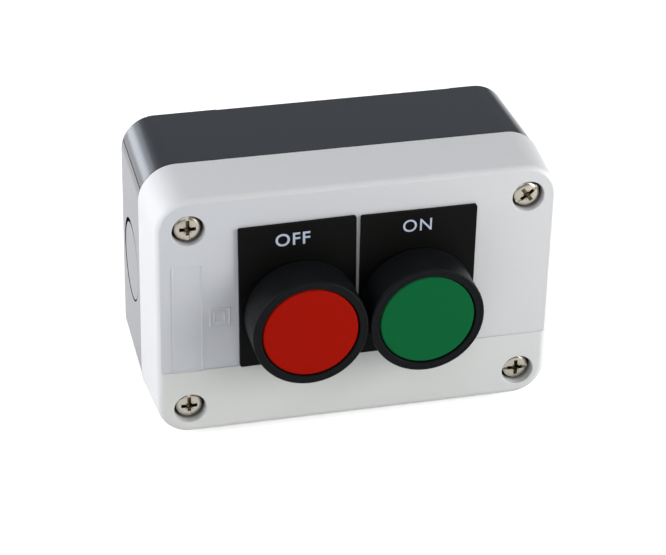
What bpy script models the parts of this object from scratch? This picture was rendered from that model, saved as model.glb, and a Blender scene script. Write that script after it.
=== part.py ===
"""Two-button pushbutton control station for machine control: a black base box, a light grey cover,
a red OFF and a green ON head, and the contact blocks behind them.

The pieces are modelled on the bench, lying on the back: X along the case, Y up the wall, Z out of
the wall towards the operator, z = 0 on the wall face. The empty 'station' then hangs the bench frame
on the wall, so that the buttons face -Y and +Z is up. All sizes are in metres.
"""

import math

import bmesh
import bpy
from mathutils import Euler, Matrix, Vector

# Gap kept between pieces that seat on each other or run in each other
CLEARANCE = 0.0003

# Case
CASE_WIDTH = 0.1050
CASE_HEIGHT = 0.0694
CASE_DEPTH = 0.0476
COVER_DEPTH = 0.0188
CORNER_RADIUS = 0.0096
COVER_DRAFT = math.radians(3.5)
BASE_DRAFT = math.radians(1.3)
COVER_FILLET = 0.0022
RIM_STEP = 0.0002
CASE_WALL = 0.0028
BASE_FLOOR = 0.0024
COVER_FACE = 0.0026

# Seam between base and cover: a lip on the base presses the gasket into a rebate of the cover
LIP_INSET = 0.0015
LIP_HEIGHT = 0.0020
GASKET_THICKNESS = 0.0012

# Cover screws and the pillars that take them
SCREW_INSET_X = 0.0090
SCREW_INSET_Y = 0.0090
SCREW_HEAD_RADIUS = 0.00325
SCREW_HEAD_HEIGHT = 0.0024
SCREW_SHANK_RADIUS = 0.00175
SCREW_BITE = 0.0090
SCREW_SINK = 0.00125
WELL_RADIUS = 0.00415
WELL_FLOOR = 0.0025
BOSS_WALL = 0.00125
PILLAR_WALL = 0.0025
RIB_THICKNESS = 0.0016
RIB_DROP = 0.0020
RIB_START = 0.0025
SLOT_TURNS = {
    "top_left": 0.0,
    "bottom_left": 0.0,
    "top_right": math.radians(-53.0),
    "bottom_right": math.radians(-90.0),
}

# Relief on the cover's face
PANEL_RECESS = 0.00035
LABEL_INSET = 0.0041
LABEL_WIDTH = 0.0070
LABEL_HEIGHT = 0.0300
LABEL_RECESS = 0.0002

# Cable entries: two concentric knock-out grooves on a raised pad at each short end
PAD_RISE = 0.00035
PAD_MARGIN = 0.0078
ENTRY_RADIUS = 0.01025
INNER_ENTRY_RADIUS = 0.0081
ENTRY_GROOVE_WIDTH = 0.0007
ENTRY_GROOVE_DEPTH = 0.0014
INNER_ENTRY_DEPTH = 0.0007

# Wall side of the base
REAR_RELIEF_DEPTH = 0.0005
REAR_RELIEF_WIDTH = 0.0050
REAR_RELIEF_LEFT = 0.0259
REAR_RELIEF_RIGHT = 0.0161
FIXING_SLOT_WIDTH = 0.0050
FIXING_SLOT_LENGTH = 0.0085
FIXING_INSET_X = 0.0195
FIXING_INSET_Y = 0.0122

# Button heads
BUTTON_PITCH = 0.0300
NECK_PLAY = 0.0004
HEAD_HEIGHT = 0.0122
HEAD_GAP = 0.0006
HEAD_OVERLAP = 0.0034
HEAD_RING = 0.0022
HEAD_EDGE = 0.0004
HEAD_BORE_DEPTH = 0.0090
NECK_BELOW_FACE = 0.0090
NECK_CHAMFER = 0.0006
NECK_WALL = 0.0023
SHELF_THICKNESS = 0.0024

# Gasket under the head, in a groove of its flange
HEAD_GASKET_WIDTH = 0.0012
HEAD_GASKET_HEIGHT = 0.0007
HEAD_GASKET_INSET = 0.0014

# Lock nut
NUT_GAP = 0.0016
NUT_HEIGHT = 0.0040
NUT_EDGE = 0.0005
NUT_NOTCHES = 6
NUT_NOTCH_WIDTH = 0.0036
NUT_NOTCH_DEPTH = 0.0013

# Legend plates
PLATE_THICKNESS = 0.0010
PLATE_GAP = 0.0003
PLATE_ABOVE = 0.0257
PLATE_STEP_GAP = 0.0005
PLATE_CORNER = 0.0008
PLATE_HOLE_PLAY = 0.0005
PLATE_SHIFT = {"off": -0.00035, "on": 0.0}
PLATE_TURN = {"off": math.radians(0.9), "on": 0.0}

# Button caps, stems and return springs
BUTTON_TRAVEL = 0.0040
CAP_RECESS = 0.0003
CAP_SKIRT = 0.0043
CAP_THICKNESS = 0.0015
CAP_SKIRT_WALL = 0.0012
CAP_EDGE = 0.0005
STEM_FLANGE = 0.0016
STEM_RADIUS = 0.0051
STEM_TIP_CHAMFER = 0.0004
STEM_BELOW_NECK = 0.0047
SNAP_REACH = 0.0012
SNAP_LAND = 0.0010
SNAP_TAPER = 0.0012
SNAP_SLOT = 0.0012
SNAP_SLOT_LENGTH = 0.0110
RETURN_WIRE_RADIUS = 0.00045
RETURN_TURNS = 5.0

# Contact blocks
BLOCK_WIDTH = 0.0140
BLOCK_LENGTH = 0.0420
BLOCK_EDGE = 0.0005
BLOCK_TOP_WALL = 0.0018
BLOCK_SIDE_WALL = 0.0025
CHAMBER_LENGTH = 0.0240
FOOT_THICKNESS = 0.0018
FOOT_OVERHANG = 0.0020
RAIL_THICKNESS = 0.0016
RAIL_HEIGHT = 0.0036
RAIL_LENGTH = 0.0360
HOOK_WIDTH = 0.0080
HOOK_THICKNESS = 0.0018
HOOK_REACH = 0.0010
HOOK_LIP = 0.0014

# Contact carriage: the plunger with the bridge in its window
PLUNGER_WIDTH = 0.0072
PLUNGER_STEM_LENGTH = 0.0072
PLUNGER_BODY_LENGTH = 0.0092
PLUNGER_PROUD = 0.0066
PLUNGER_FOOT = 0.0015
BRIDGE_DROP = 0.0071
BRIDGE_WIDTH = 0.0038
BRIDGE_END_PLAY = 0.0026
BRIDGE_THICKNESS = 0.0008
RIVET_RADIUS = 0.0014
RIVET_INSET = 0.0016
RIVET_HEIGHT = 0.0005
SPRING_PEG_RADIUS = 0.0019
SPRING_PEG_HEIGHT = 0.0016
SPRING_PLAY = 0.0004
CONTACT_WIRE_RADIUS = 0.0003
CONTACT_TURNS = 6.0

# Fixed contacts and their screw terminals
STRIP_WIDTH = 0.0060
STRIP_THICKNESS = 0.0008
STRIP_LEG_INSET = 0.0006
STRIP_PAST_RIVET = 0.0018
STRIP_END_INSET = 0.0006
POCKET_WIDTH = 0.0084
POCKET_LENGTH = 0.0074
TERMINAL_INSET = 0.0038
CLAMP_WIDTH = 0.0072
CLAMP_LENGTH = 0.0062
CLAMP_THICKNESS = 0.0010
TERMINAL_HEAD_RADIUS = 0.0028
TERMINAL_HEAD_HEIGHT = 0.0020
TERMINAL_SHANK_RADIUS = 0.0016
TERMINAL_ABOVE_FOOT = 0.0030

# Screw heads: dome, cross recess and driver slot as parts of the head's radius or height
DOME_PART = 1 / 6
CROSS_ARM_PART = 0.17
CROSS_REACH_PART = 0.60
CROSS_DEPTH_PART = 0.66
SLOT_ARM_PART = 0.15
SLOT_DEPTH_PART = 0.38

# Springs: rise of a closed end turn, in wire radii
CLOSED_RISE = 2.7

# Facets of the round shapes, and of the case's corners and fillet
HEAD_STEPS = 32
GROOVE_STEPS = 24
SMALL_STEPS = 12
WIRE_STEPS_PER_TURN = 8
CORNER_STEPS = 5
FILLET_STEPS = 3
PLATE_CORNER_STEPS = 3

# Overlap that lets joined shapes fuse, and cutters run past the surface they open
FUSE = 0.0010

# Levels on the bench, counted from the wall
RIM = CASE_DEPTH - COVER_DEPTH
COVER_CEILING = CASE_DEPTH - COVER_FACE
PANEL = CASE_DEPTH - PANEL_RECESS
PLATE_LOW = PANEL + CLEARANCE
PLATE_HIGH = PLATE_LOW + PLATE_THICKNESS
HEAD_LOW = PLATE_HIGH + CLEARANCE
HEAD_TOP = CASE_DEPTH + HEAD_HEIGHT
CAP_TOP = HEAD_TOP - CAP_RECESS
NECK_END = CASE_DEPTH - NECK_BELOW_FACE
SHELF_TOP = NECK_END + SHELF_THICKNESS
STEM_END = NECK_END - STEM_BELOW_NECK
PLUNGER_TOP = STEM_END - CLEARANCE
FLANGE_TOP = CAP_TOP - CAP_THICKNESS - CLEARANCE
FLANGE_LOW = FLANGE_TOP - STEM_FLANGE
FOOT_LOW = BASE_FLOOR + CLEARANCE
FOOT_HIGH = FOOT_LOW + FOOT_THICKNESS
BLOCK_LOW = FOOT_HIGH + CLEARANCE
BLOCK_HIGH = PLUNGER_TOP - PLUNGER_PROUD
PLUNGER_SHOULDER = BLOCK_HIGH - BLOCK_TOP_WALL - CLEARANCE
BRIDGE_HIGH = PLUNGER_SHOULDER - BRIDGE_DROP
BRIDGE_LOW = BRIDGE_HIGH - BRIDGE_THICKNESS
PLUNGER_END = BRIDGE_LOW - CLEARANCE - PLUNGER_FOOT
POCKET_LOW = BRIDGE_LOW - BUTTON_TRAVEL
STRIP_LOW = POCKET_LOW + CLEARANCE
CLAMP_LOW = STRIP_LOW + STRIP_THICKNESS + CLEARANCE
TERMINAL_SEAT = CLAMP_LOW + CLAMP_THICKNESS + CLEARANCE
TERMINAL_END = BLOCK_LOW + TERMINAL_ABOVE_FOOT
SCREW_SEAT = CASE_DEPTH - SCREW_SINK - SCREW_HEAD_HEIGHT

# Radii and half sizes that follow from the above
HEAD_RADIUS = (BUTTON_PITCH - HEAD_GAP) / 2
HEAD_BORE_RADIUS = HEAD_RADIUS - HEAD_RING
MOUNTING_HOLE_RADIUS = HEAD_RADIUS - HEAD_OVERLAP
NECK_RADIUS = MOUNTING_HOLE_RADIUS - NECK_PLAY
SPRING_CHAMBER_RADIUS = NECK_RADIUS - NECK_WALL
RETURN_SPRING_RADIUS = (SPRING_CHAMBER_RADIUS + STEM_RADIUS) / 2
CONTACT_SPRING_RADIUS = SPRING_PEG_RADIUS + SPRING_PLAY + CONTACT_WIRE_RADIUS
NUT_RADIUS = (BUTTON_PITCH - NUT_GAP) / 2
CAP_RADIUS = HEAD_BORE_RADIUS - CLEARANCE
STEM_BORE_RADIUS = STEM_RADIUS + CLEARANCE
BOSS_RADIUS = WELL_RADIUS + BOSS_WALL
PILLAR_RADIUS = SCREW_SHANK_RADIUS + CLEARANCE + PILLAR_WALL
BUTTON_X = {"off": -BUTTON_PITCH / 2, "on": BUTTON_PITCH / 2}
SCREW_X = CASE_WIDTH / 2 - SCREW_INSET_X
SCREW_Y = CASE_HEIGHT / 2 - SCREW_INSET_Y
STEP_Y = -BUTTON_PITCH / 2
BRIDGE_LENGTH = CHAMBER_LENGTH - 2 * BRIDGE_END_PLAY
RIVET_Y = BRIDGE_LENGTH / 2 - RIVET_INSET
STRIP_LEG = CHAMBER_LENGTH / 2 - STRIP_LEG_INSET
STRIP_TIP = RIVET_Y - STRIP_PAST_RIVET
TERMINAL_Y = BLOCK_LENGTH / 2 - TERMINAL_INSET
CORNERS = {
    "top_left": (-SCREW_X, SCREW_Y),
    "top_right": (SCREW_X, SCREW_Y),
    "bottom_left": (-SCREW_X, -SCREW_Y),
    "bottom_right": (SCREW_X, -SCREW_Y),
}

# Colour, roughness and metallic value of each material
MATERIALS = {
    "base_black": ((0.030, 0.031, 0.034), 0.22, 0.0),
    "cover_grey": ((0.62, 0.62, 0.61), 0.38, 0.0),
    "plate_black": ((0.006, 0.006, 0.006), 0.45, 0.0),
    "head_black": ((0.016, 0.017, 0.019), 0.35, 0.0),
    "cap_red": ((0.36, 0.010, 0.006), 0.40, 0.0),
    "cap_green": ((0.010, 0.150, 0.045), 0.40, 0.0),
    "stem_grey": ((0.10, 0.10, 0.11), 0.45, 0.0),
    "rubber_black": ((0.012, 0.012, 0.012), 0.80, 0.0),
    "zinc_steel": ((0.62, 0.58, 0.50), 0.28, 1.0),
    "spring_steel": ((0.55, 0.56, 0.58), 0.30, 1.0),
    "contact_brass": ((0.72, 0.52, 0.24), 0.30, 1.0),
    "block_grey": ((0.12, 0.13, 0.14), 0.42, 0.0),
    "contact_red": ((0.40, 0.02, 0.015), 0.45, 0.0),
    "contact_green": ((0.02, 0.20, 0.07), 0.45, 0.0),
}


def clear_scene():
    """Remove every object, so the file holds only the station."""
    for item in list(bpy.data.objects):
        bpy.data.objects.remove(item, do_unlink=True)


def collection(name):
    """A new collection linked to the scene."""
    made = bpy.data.collections.new(name)
    bpy.context.scene.collection.children.link(made)
    return made


def material(name):
    """The Principled material of that name, made the first time it is asked for."""
    found = bpy.data.materials.get(name)
    if found:
        return found
    colour, roughness, metallic = MATERIALS[name]
    made = bpy.data.materials.new(name)
    made.use_nodes = True
    shader = made.node_tree.nodes["Principled BSDF"]
    shader.inputs["Base Color"].default_value = (*colour, 1.0)
    shader.inputs["Roughness"].default_value = roughness
    shader.inputs["Metallic"].default_value = metallic
    made.diffuse_color = (*colour, 1.0)
    return made


class Bench:
    """Where the pieces and the cutters are kept, and the empty that hangs them on the wall."""

    def __init__(self):
        self.parts = collection("control_station")
        self.tools = collection("cutters_and_bosses")
        self.station = bpy.data.objects.new("station", None)
        self.station.rotation_euler = Euler((math.radians(90.0), 0.0, 0.0))
        self.parts.objects.link(self.station)

    def place(self, name, data, finish=None, at=(0.0, 0.0, 0.0), turn=0.0):
        """Add mesh or curve data as a piece with a finish, or as a hidden tool without one."""
        item = bpy.data.objects.new(name, data)
        item.parent = self.station
        item.location = at
        item.rotation_euler = Euler((0.0, 0.0, turn))
        if finish:
            data.materials.append(material(finish))
            self.parts.objects.link(item)
        else:
            item.hide_render = True
            item.display_type = "WIRE"
            self.tools.objects.link(item)
        return item


def mesh_of(name, *shapes):
    """A mesh filled by the given functions, each of which adds one closed shape."""
    built = bmesh.new()
    for add in shapes:
        add(built)
    bmesh.ops.recalc_face_normals(built, faces=built.faces)
    data = bpy.data.meshes.new(name)
    built.to_mesh(data)
    built.free()
    return data


def block(low, high, edge=0.0):
    """A box between two corners, its edges bevelled by edge."""

    def add(built):
        low_corner, high_corner = Vector(low), Vector(high)
        centre = (low_corner + high_corner) / 2
        matrix = Matrix.LocRotScale(centre, None, high_corner - low_corner)
        made = bmesh.ops.create_cube(built, size=1.0, matrix=matrix)
        if edge:
            edges = {e for v in made["verts"] for e in v.link_edges}
            bmesh.ops.bevel(
                built, geom=list(edges), offset=edge, segments=1, affect="EDGES"
            )

    return add


def cylinder(x, y, low, high, radius, top_radius=None, steps=SMALL_STEPS):
    """A cylinder along Z, or a cone where the top radius differs."""

    def add(built):
        bmesh.ops.create_cone(
            built,
            cap_ends=True,
            segments=steps,
            radius1=radius,
            radius2=radius if top_radius is None else top_radius,
            depth=high - low,
            matrix=Matrix.Translation((x, y, (low + high) / 2)),
        )

    return add


def extrusion(points, low, high, matrix=None):
    """An outline in its own XY plane extruded from low to high, then placed by a matrix."""

    def add(built):
        verts = [built.verts.new((px, py, low)) for px, py in points]
        face = built.faces.new(verts)
        grown = bmesh.ops.extrude_face_region(built, geom=[face])["geom"]
        raised = [g for g in grown if isinstance(g, bmesh.types.BMVert)]
        bmesh.ops.translate(built, verts=raised, vec=(0.0, 0.0, high - low))
        if matrix:
            bmesh.ops.transform(built, matrix=matrix, verts=verts + raised)

    return add


def drafted_block(low, high, half_low, half_high, radius, fillet=0.0):
    """A block with rounded upright corners that narrows upwards, its top edge filleted."""

    def add(built):
        size = Vector((2 * half_low[0], 2 * half_low[1], high - low))
        matrix = Matrix.LocRotScale(Vector((0.0, 0.0, (low + high) / 2)), None, size)
        made = bmesh.ops.create_cube(built, size=1.0, matrix=matrix)
        upright = {
            e
            for v in made["verts"]
            for e in v.link_edges
            if abs(e.verts[0].co.z - e.verts[1].co.z) > (high - low) / 2
        }
        rounded = bmesh.ops.bevel(
            built,
            geom=list(upright),
            offset=radius,
            segments=CORNER_STEPS,
            profile=0.5,
            affect="EDGES",
        )
        verts = {v for f in rounded["faces"] for v in f.verts}
        top = [v for v in verts if v.co.z > (low + high) / 2]
        for vert in top:
            vert.co.x *= half_high[0] / half_low[0]
            vert.co.y *= half_high[1] / half_low[1]
        if fillet:
            rim = {e for v in top for e in v.link_edges if e.other_vert(v) in top}
            bmesh.ops.bevel(
                built,
                geom=list(rim),
                offset=fillet,
                segments=FILLET_STEPS,
                profile=0.5,
                affect="EDGES",
            )

    return add


def cover_half(z, inset=0.0):
    """Half width and half height of the cover's outside at height z, less an inset."""
    taper = (z - RIM) * math.tan(COVER_DRAFT) + inset
    return CASE_WIDTH / 2 - taper, CASE_HEIGHT / 2 - taper


def base_half(z, inset=0.0):
    """Half width and half height of the base's outside at height z, less an inset."""
    taper = RIM_STEP + (RIM - z) * math.tan(BASE_DRAFT) + inset
    return CASE_WIDTH / 2 - PAD_RISE - taper, CASE_HEIGHT / 2 - taper


def case_block(half, low, high, inset=0.0, fillet=0.0):
    """A drafted block that follows the cover or the base at an inset."""
    radius = CORNER_RADIUS - inset
    return drafted_block(low, high, half(low, inset), half(high, inset), radius, fillet)


def combine(bench, target, operation, name, *shapes):
    """Join or cut a piece with a tool made of shapes that don't touch each other."""
    tool = bench.place(f"{target.name}_{name}", mesh_of(name, *shapes))
    boolean = target.modifiers.new(name, "BOOLEAN")
    boolean.operation = operation
    boolean.solver = "EXACT"
    boolean.object = tool
    return tool


def turned(bench, name, profile, finish, x=0.0, y=0.0, steps=HEAD_STEPS):
    """A profile of (radius, height) points turned about Z; it is closed unless it ends on the axis."""
    count = len(profile)
    closed = profile[0][0] > 0.0
    edges = [(i, (i + 1) % count) for i in range(count if closed else count - 1)]
    data = bpy.data.meshes.new(name)
    data.from_pydata([(r, 0.0, z) for r, z in profile], edges, [])
    item = bench.place(name, data, finish, at=(x, y, 0.0))
    screw = item.modifiers.new("turn", "SCREW")
    screw.steps = steps
    screw.render_steps = steps
    screw.use_merge_vertices = True
    screw.merge_threshold = 0.00001
    screw.use_smooth_shade = True
    return item


def coil(bench, name, x, low, high, radius, wire, turns, finish):
    """A compression spring between two heights, with a closed turn at each end."""
    length = high - low - 2 * wire
    closed_rise = CLOSED_RISE * wire
    active = turns - 2.0
    open_rise = (length - 2 * closed_rise) / active
    count = int(turns * WIRE_STEPS_PER_TURN) + 1
    curve = bpy.data.curves.new(name, "CURVE")
    curve.dimensions = "3D"
    curve.bevel_depth = wire
    curve.bevel_resolution = 1
    curve.use_fill_caps = True
    spline = curve.splines.new("POLY")
    spline.points.add(count - 1)
    for index, point in enumerate(spline.points):
        turn = index * turns / (count - 1)
        angle = 2 * math.pi * turn
        rise = closed_rise * min(turn, 1.0)
        rise += open_rise * min(max(turn - 1.0, 0.0), active)
        rise += closed_rise * max(turn - 1.0 - active, 0.0)
        z = low + wire + rise
        point.co = (radius * math.cos(angle), radius * math.sin(angle), z, 1.0)
    return bench.place(name, curve, finish, at=(x, 0.0, 0.0))


def base_box(bench):
    """The open black box: drafted walls, lip, pillars, block rails, knock-outs and wall-fixing slots."""
    pad_half_y = CASE_HEIGHT / 2 - PAD_MARGIN
    pad_half_x = base_half(0.0)[0] + PAD_RISE
    pad_front_x = base_half(RIM)[0] + PAD_RISE
    item = bench.place(
        "base_box", mesh_of("base_box", case_block(base_half, 0.0, RIM)), "base_black"
    )
    pad = extrusion(
        [
            (-pad_half_x, 0.0),
            (pad_half_x, 0.0),
            (pad_front_x, RIM),
            (-pad_front_x, RIM),
        ],
        -pad_half_y,
        pad_half_y,
        Matrix.Rotation(math.radians(90.0), 4, "X"),
    )
    combine(bench, item, "UNION", "side_pads", pad)
    lip_top = RIM + LIP_HEIGHT
    lip = case_block(base_half, RIM - FUSE, lip_top, LIP_INSET)
    combine(bench, item, "UNION", "lip", lip)
    cavity = case_block(base_half, BASE_FLOOR, lip_top + FUSE, CASE_WALL)
    combine(bench, item, "DIFFERENCE", "cavity", cavity)
    pillars = [
        cylinder(x, y, BASE_FLOOR - FUSE, RIM, PILLAR_RADIUS)
        for x, y in CORNERS.values()
    ]
    combine(bench, item, "UNION", "pillars", *pillars)
    for name, along_x in (("ribs_x", True), ("ribs_y", False)):
        ribs = corner_ribs(base_half, BASE_FLOOR - FUSE, RIM - RIB_DROP, along_x)
        combine(bench, item, "UNION", name, *ribs)
    pilots = [
        cylinder(x, y, screw_end() - FUSE, RIM + FUSE, SCREW_SHANK_RADIUS + CLEARANCE)
        for x, y in CORNERS.values()
    ]
    combine(bench, item, "DIFFERENCE", "screw_pilots", *pilots)
    combine(bench, item, "UNION", "block_rails", *block_rails())
    combine(bench, item, "DIFFERENCE", "fixing_slots", *fixing_slots())
    combine(bench, item, "DIFFERENCE", "rear_relief", *rear_reliefs())
    knock_out_grooves(bench, item)
    return item


def screw_end():
    """Height of a cover screw's tip."""
    return RIM - SCREW_BITE


def corner_ribs(half, low, high, along_x):
    """Ribs that tie each corner pillar or boss to the wall, along X or along Y."""
    ribs = []
    thick = RIB_THICKNESS / 2
    reach_x, reach_y = half(high, CASE_WALL / 2)
    for x, y in CORNERS.values():
        if along_x:
            wall = math.copysign(reach_x, x)
            near, far = sorted((x + math.copysign(RIB_START, x), wall))
            ribs.append(block((near, y - thick, low), (far, y + thick, high)))
        else:
            wall = math.copysign(reach_y, y)
            near, far = sorted((y + math.copysign(RIB_START, y), wall))
            ribs.append(block((x - thick, near, low), (x + thick, far, high)))
    return ribs


def block_rails():
    """Rails along both sides of each contact block's foot, and a hook over each end of it."""
    shapes = []
    inner = BLOCK_WIDTH / 2 + CLEARANCE
    low = BASE_FLOOR - FUSE
    rail_y = RAIL_LENGTH / 2
    hook_y = BLOCK_LENGTH / 2 + FOOT_OVERHANG + CLEARANCE
    under = FOOT_HIGH + CLEARANCE
    hook = [
        (hook_y, low),
        (hook_y + HOOK_THICKNESS, low),
        (hook_y + HOOK_THICKNESS, under + HOOK_LIP),
        (hook_y - HOOK_REACH / 2, under + HOOK_LIP),
        (hook_y - HOOK_REACH, under + HOOK_LIP / 2),
        (hook_y - HOOK_REACH, under),
        (hook_y, under),
    ]
    for x in BUTTON_X.values():
        for near in (x - inner - RAIL_THICKNESS, x + inner):
            corner = (near, -rail_y, low)
            far = (near + RAIL_THICKNESS, rail_y, BASE_FLOOR + RAIL_HEIGHT)
            shapes.append(block(corner, far))
        for side in (1.0, -1.0):
            outline = [(side * py, pz) for py, pz in hook]
            shapes.append(across(outline, x, HOOK_WIDTH))
    return shapes


def across(outline, x, width):
    """An outline of (y, z) points extruded along X, centred on x."""
    turn = Matrix(((0, 0, 1, 0), (1, 0, 0, 0), (0, 1, 0, 0), (0, 0, 0, 1)))
    return extrusion(outline, x - width / 2, x + width / 2, turn)


def fixing_slots():
    """Four round-ended slots in the floor for the wall screws."""
    slots = []
    radius = FIXING_SLOT_WIDTH / 2
    straight = FIXING_SLOT_LENGTH / 2 - radius
    for side_x in (1.0, -1.0):
        for side_y in (1.0, -1.0):
            x = side_x * (CASE_WIDTH / 2 - FIXING_INSET_X)
            y = side_y * (CASE_HEIGHT / 2 - FIXING_INSET_Y)
            outline = []
            for step in range(SMALL_STEPS):
                angle = 2 * math.pi * (step + 0.5) / SMALL_STEPS
                shift = math.copysign(straight, math.cos(angle))
                px = x + shift + radius * math.cos(angle)
                outline.append((px, y + radius * math.sin(angle)))
            slots.append(extrusion(outline, -FUSE, BASE_FLOOR + FUSE))
    return slots


def rear_reliefs():
    """Shallow reliefs along the middle of both long rear edges, which leave feet at the corners."""
    left = -CASE_WIDTH / 2 + REAR_RELIEF_LEFT
    right = CASE_WIDTH / 2 - REAR_RELIEF_RIGHT
    outer = CASE_HEIGHT / 2 + FUSE
    inner = base_half(0.0)[1] - REAR_RELIEF_WIDTH
    return [
        block((left, inner, -FUSE), (right, outer, REAR_RELIEF_DEPTH)),
        block((left, -outer, -FUSE), (right, -inner, REAR_RELIEF_DEPTH)),
    ]


def knock_out_grooves(bench, item):
    """Two concentric grooves at the middle of each short end, where a cable entry can be broken out."""
    z = RIM / 2
    wall = base_half(z)[0] + PAD_RISE
    rings = (
        ("entry", ENTRY_RADIUS, ENTRY_GROOVE_DEPTH),
        ("inner_entry", INNER_ENTRY_RADIUS, INNER_ENTRY_DEPTH),
    )
    for side_name, side in (("left", -1.0), ("right", 1.0)):
        for name, radius, depth in rings:
            outer = radius + ENTRY_GROOVE_WIDTH
            profile = [(outer, FUSE), (outer, -depth), (radius, -depth), (radius, FUSE)]
            groove = turned(
                bench, f"{name}_{side_name}", profile, None, steps=GROOVE_STEPS
            )
            groove.location = (side * wall, 0.0, z)
            groove.rotation_euler = Euler((0.0, side * (math.pi / 2 + BASE_DRAFT), 0.0))
            boolean = item.modifiers.new(f"{name}_{side_name}", "BOOLEAN")
            boolean.operation = "DIFFERENCE"
            boolean.solver = "EXACT"
            boolean.object = groove


def cover(bench):
    """The light grey cover: a drafted shell with screw wells, mounting holes and a recessed panel."""
    low = RIM + CLEARANCE
    outside = case_block(cover_half, low, CASE_DEPTH, fillet=COVER_FILLET)
    item = bench.place("cover", mesh_of("cover", outside), "cover_grey")
    cavity = case_block(cover_half, RIM - FUSE, COVER_CEILING, CASE_WALL)
    combine(bench, item, "DIFFERENCE", "cavity", cavity)
    rebate = case_block(cover_half, RIM - FUSE, rebate_top(), LIP_INSET - CLEARANCE)
    combine(bench, item, "DIFFERENCE", "rebate", rebate)
    seat = SCREW_SEAT - CLEARANCE
    bosses = [
        cylinder(x, y, seat - WELL_FLOOR, COVER_CEILING + FUSE, BOSS_RADIUS)
        for x, y in CORNERS.values()
    ]
    combine(bench, item, "UNION", "bosses", *bosses)
    sleeves = [
        cylinder(x, y, low, seat - FUSE, PILLAR_RADIUS) for x, y in CORNERS.values()
    ]
    combine(bench, item, "UNION", "sleeves", *sleeves)
    rib_low = rebate_top() + FUSE
    for name, along_x in (("ribs_x", True), ("ribs_y", False)):
        ribs = corner_ribs(cover_half, rib_low, COVER_CEILING + FUSE, along_x)
        combine(bench, item, "UNION", name, *ribs)
    wells = [
        cylinder(x, y, seat, CASE_DEPTH + FUSE, WELL_RADIUS, steps=2 * SMALL_STEPS)
        for x, y in CORNERS.values()
    ]
    combine(bench, item, "DIFFERENCE", "screw_wells", *wells)
    shank = SCREW_SHANK_RADIUS + CLEARANCE
    holes = [
        cylinder(x, y, RIM, seat + FUSE, shank) for x, y in CORNERS.values()
    ]
    combine(bench, item, "DIFFERENCE", "screw_holes", *holes)
    mounting = [
        cylinder(
            x, 0.0, COVER_CEILING - FUSE, CASE_DEPTH + FUSE, MOUNTING_HOLE_RADIUS,
            steps=HEAD_STEPS,
        )
        for x in BUTTON_X.values()
    ]
    combine(bench, item, "DIFFERENCE", "mounting_holes", *mounting)
    reach_x, reach_y = CASE_WIDTH / 2, CASE_HEIGHT / 2
    panel = block((-reach_x, STEP_Y, PANEL), (reach_x, reach_y, CASE_DEPTH + FUSE))
    combine(bench, item, "DIFFERENCE", "panel", panel)
    left = -cover_half(CASE_DEPTH)[0] + LABEL_INSET
    label = block(
        (left, STEP_Y, PANEL - LABEL_RECESS),
        (left + LABEL_WIDTH, STEP_Y + LABEL_HEIGHT, CASE_DEPTH + FUSE),
    )
    combine(bench, item, "DIFFERENCE", "label_recess", label)
    return item


def rebate_top():
    """Ceiling of the cover's rebate, over the base's lip and the gasket."""
    return RIM + LIP_HEIGHT + CLEARANCE + GASKET_THICKNESS + CLEARANCE


def cover_gasket(bench):
    """The rubber ring that lies on the base's lip, inside the cover's rebate."""
    low = RIM + LIP_HEIGHT + CLEARANCE
    high = low + GASKET_THICKNESS
    ring = case_block(cover_half, low, high, LIP_INSET)
    item = bench.place("cover_gasket", mesh_of("cover_gasket", ring), "rubber_black")
    inner = case_block(cover_half, low - FUSE, high + FUSE, CASE_WALL)
    combine(bench, item, "DIFFERENCE", "inside", inner)
    return item


def combi_screw(bench, name, x, y, seat, head_radius, head_height, shank_radius, end, turn=0.0):
    """A round-head screw with a cross recess and a driver slot cut across it."""
    top = seat + head_height
    dome = head_height * DOME_PART
    profile = [
        (0.0, top),
        (head_radius * 0.62, top - dome * 0.25),
        (head_radius * 0.9, top - dome),
        (head_radius, top - 2.2 * dome),
        (head_radius, seat),
        (shank_radius, seat),
        (shank_radius, end + shank_radius * 0.5),
        (shank_radius * 0.5, end),
        (0.0, end),
    ]
    item = turned(bench, name, profile, "zinc_steel", x, y, SMALL_STEPS)
    item.rotation_euler = Euler((0.0, 0.0, turn))
    arm = head_radius * CROSS_ARM_PART
    reach = head_radius * CROSS_REACH_PART
    recess = top - head_height * CROSS_DEPTH_PART
    slot_arm = head_radius * SLOT_ARM_PART
    slot_reach = head_radius + FUSE
    slot = top - head_height * SLOT_DEPTH_PART
    above = top + FUSE
    cuts = (
        ("cross_x", block((-reach, -arm, recess), (reach, arm, above))),
        ("cross_y", block((-arm, -reach, recess), (arm, reach, above))),
        ("slot", block((-slot_arm, -slot_reach, slot), (slot_arm, slot_reach, above))),
    )
    for cut_name, shape in cuts:
        tool = combine(bench, item, "DIFFERENCE", cut_name, shape)
        tool.location = (x, y, 0.0)
        tool.rotation_euler = Euler((0.0, 0.0, turn))
    return item


def cover_screws(bench):
    """The four screws that hold the cover to the base's pillars."""
    for corner, (x, y) in CORNERS.items():
        combi_screw(
            bench, f"cover_screw_{corner}", x, y, SCREW_SEAT, SCREW_HEAD_RADIUS,
            SCREW_HEAD_HEIGHT, SCREW_SHANK_RADIUS, screw_end(), SLOT_TURNS[corner],
        )


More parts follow.
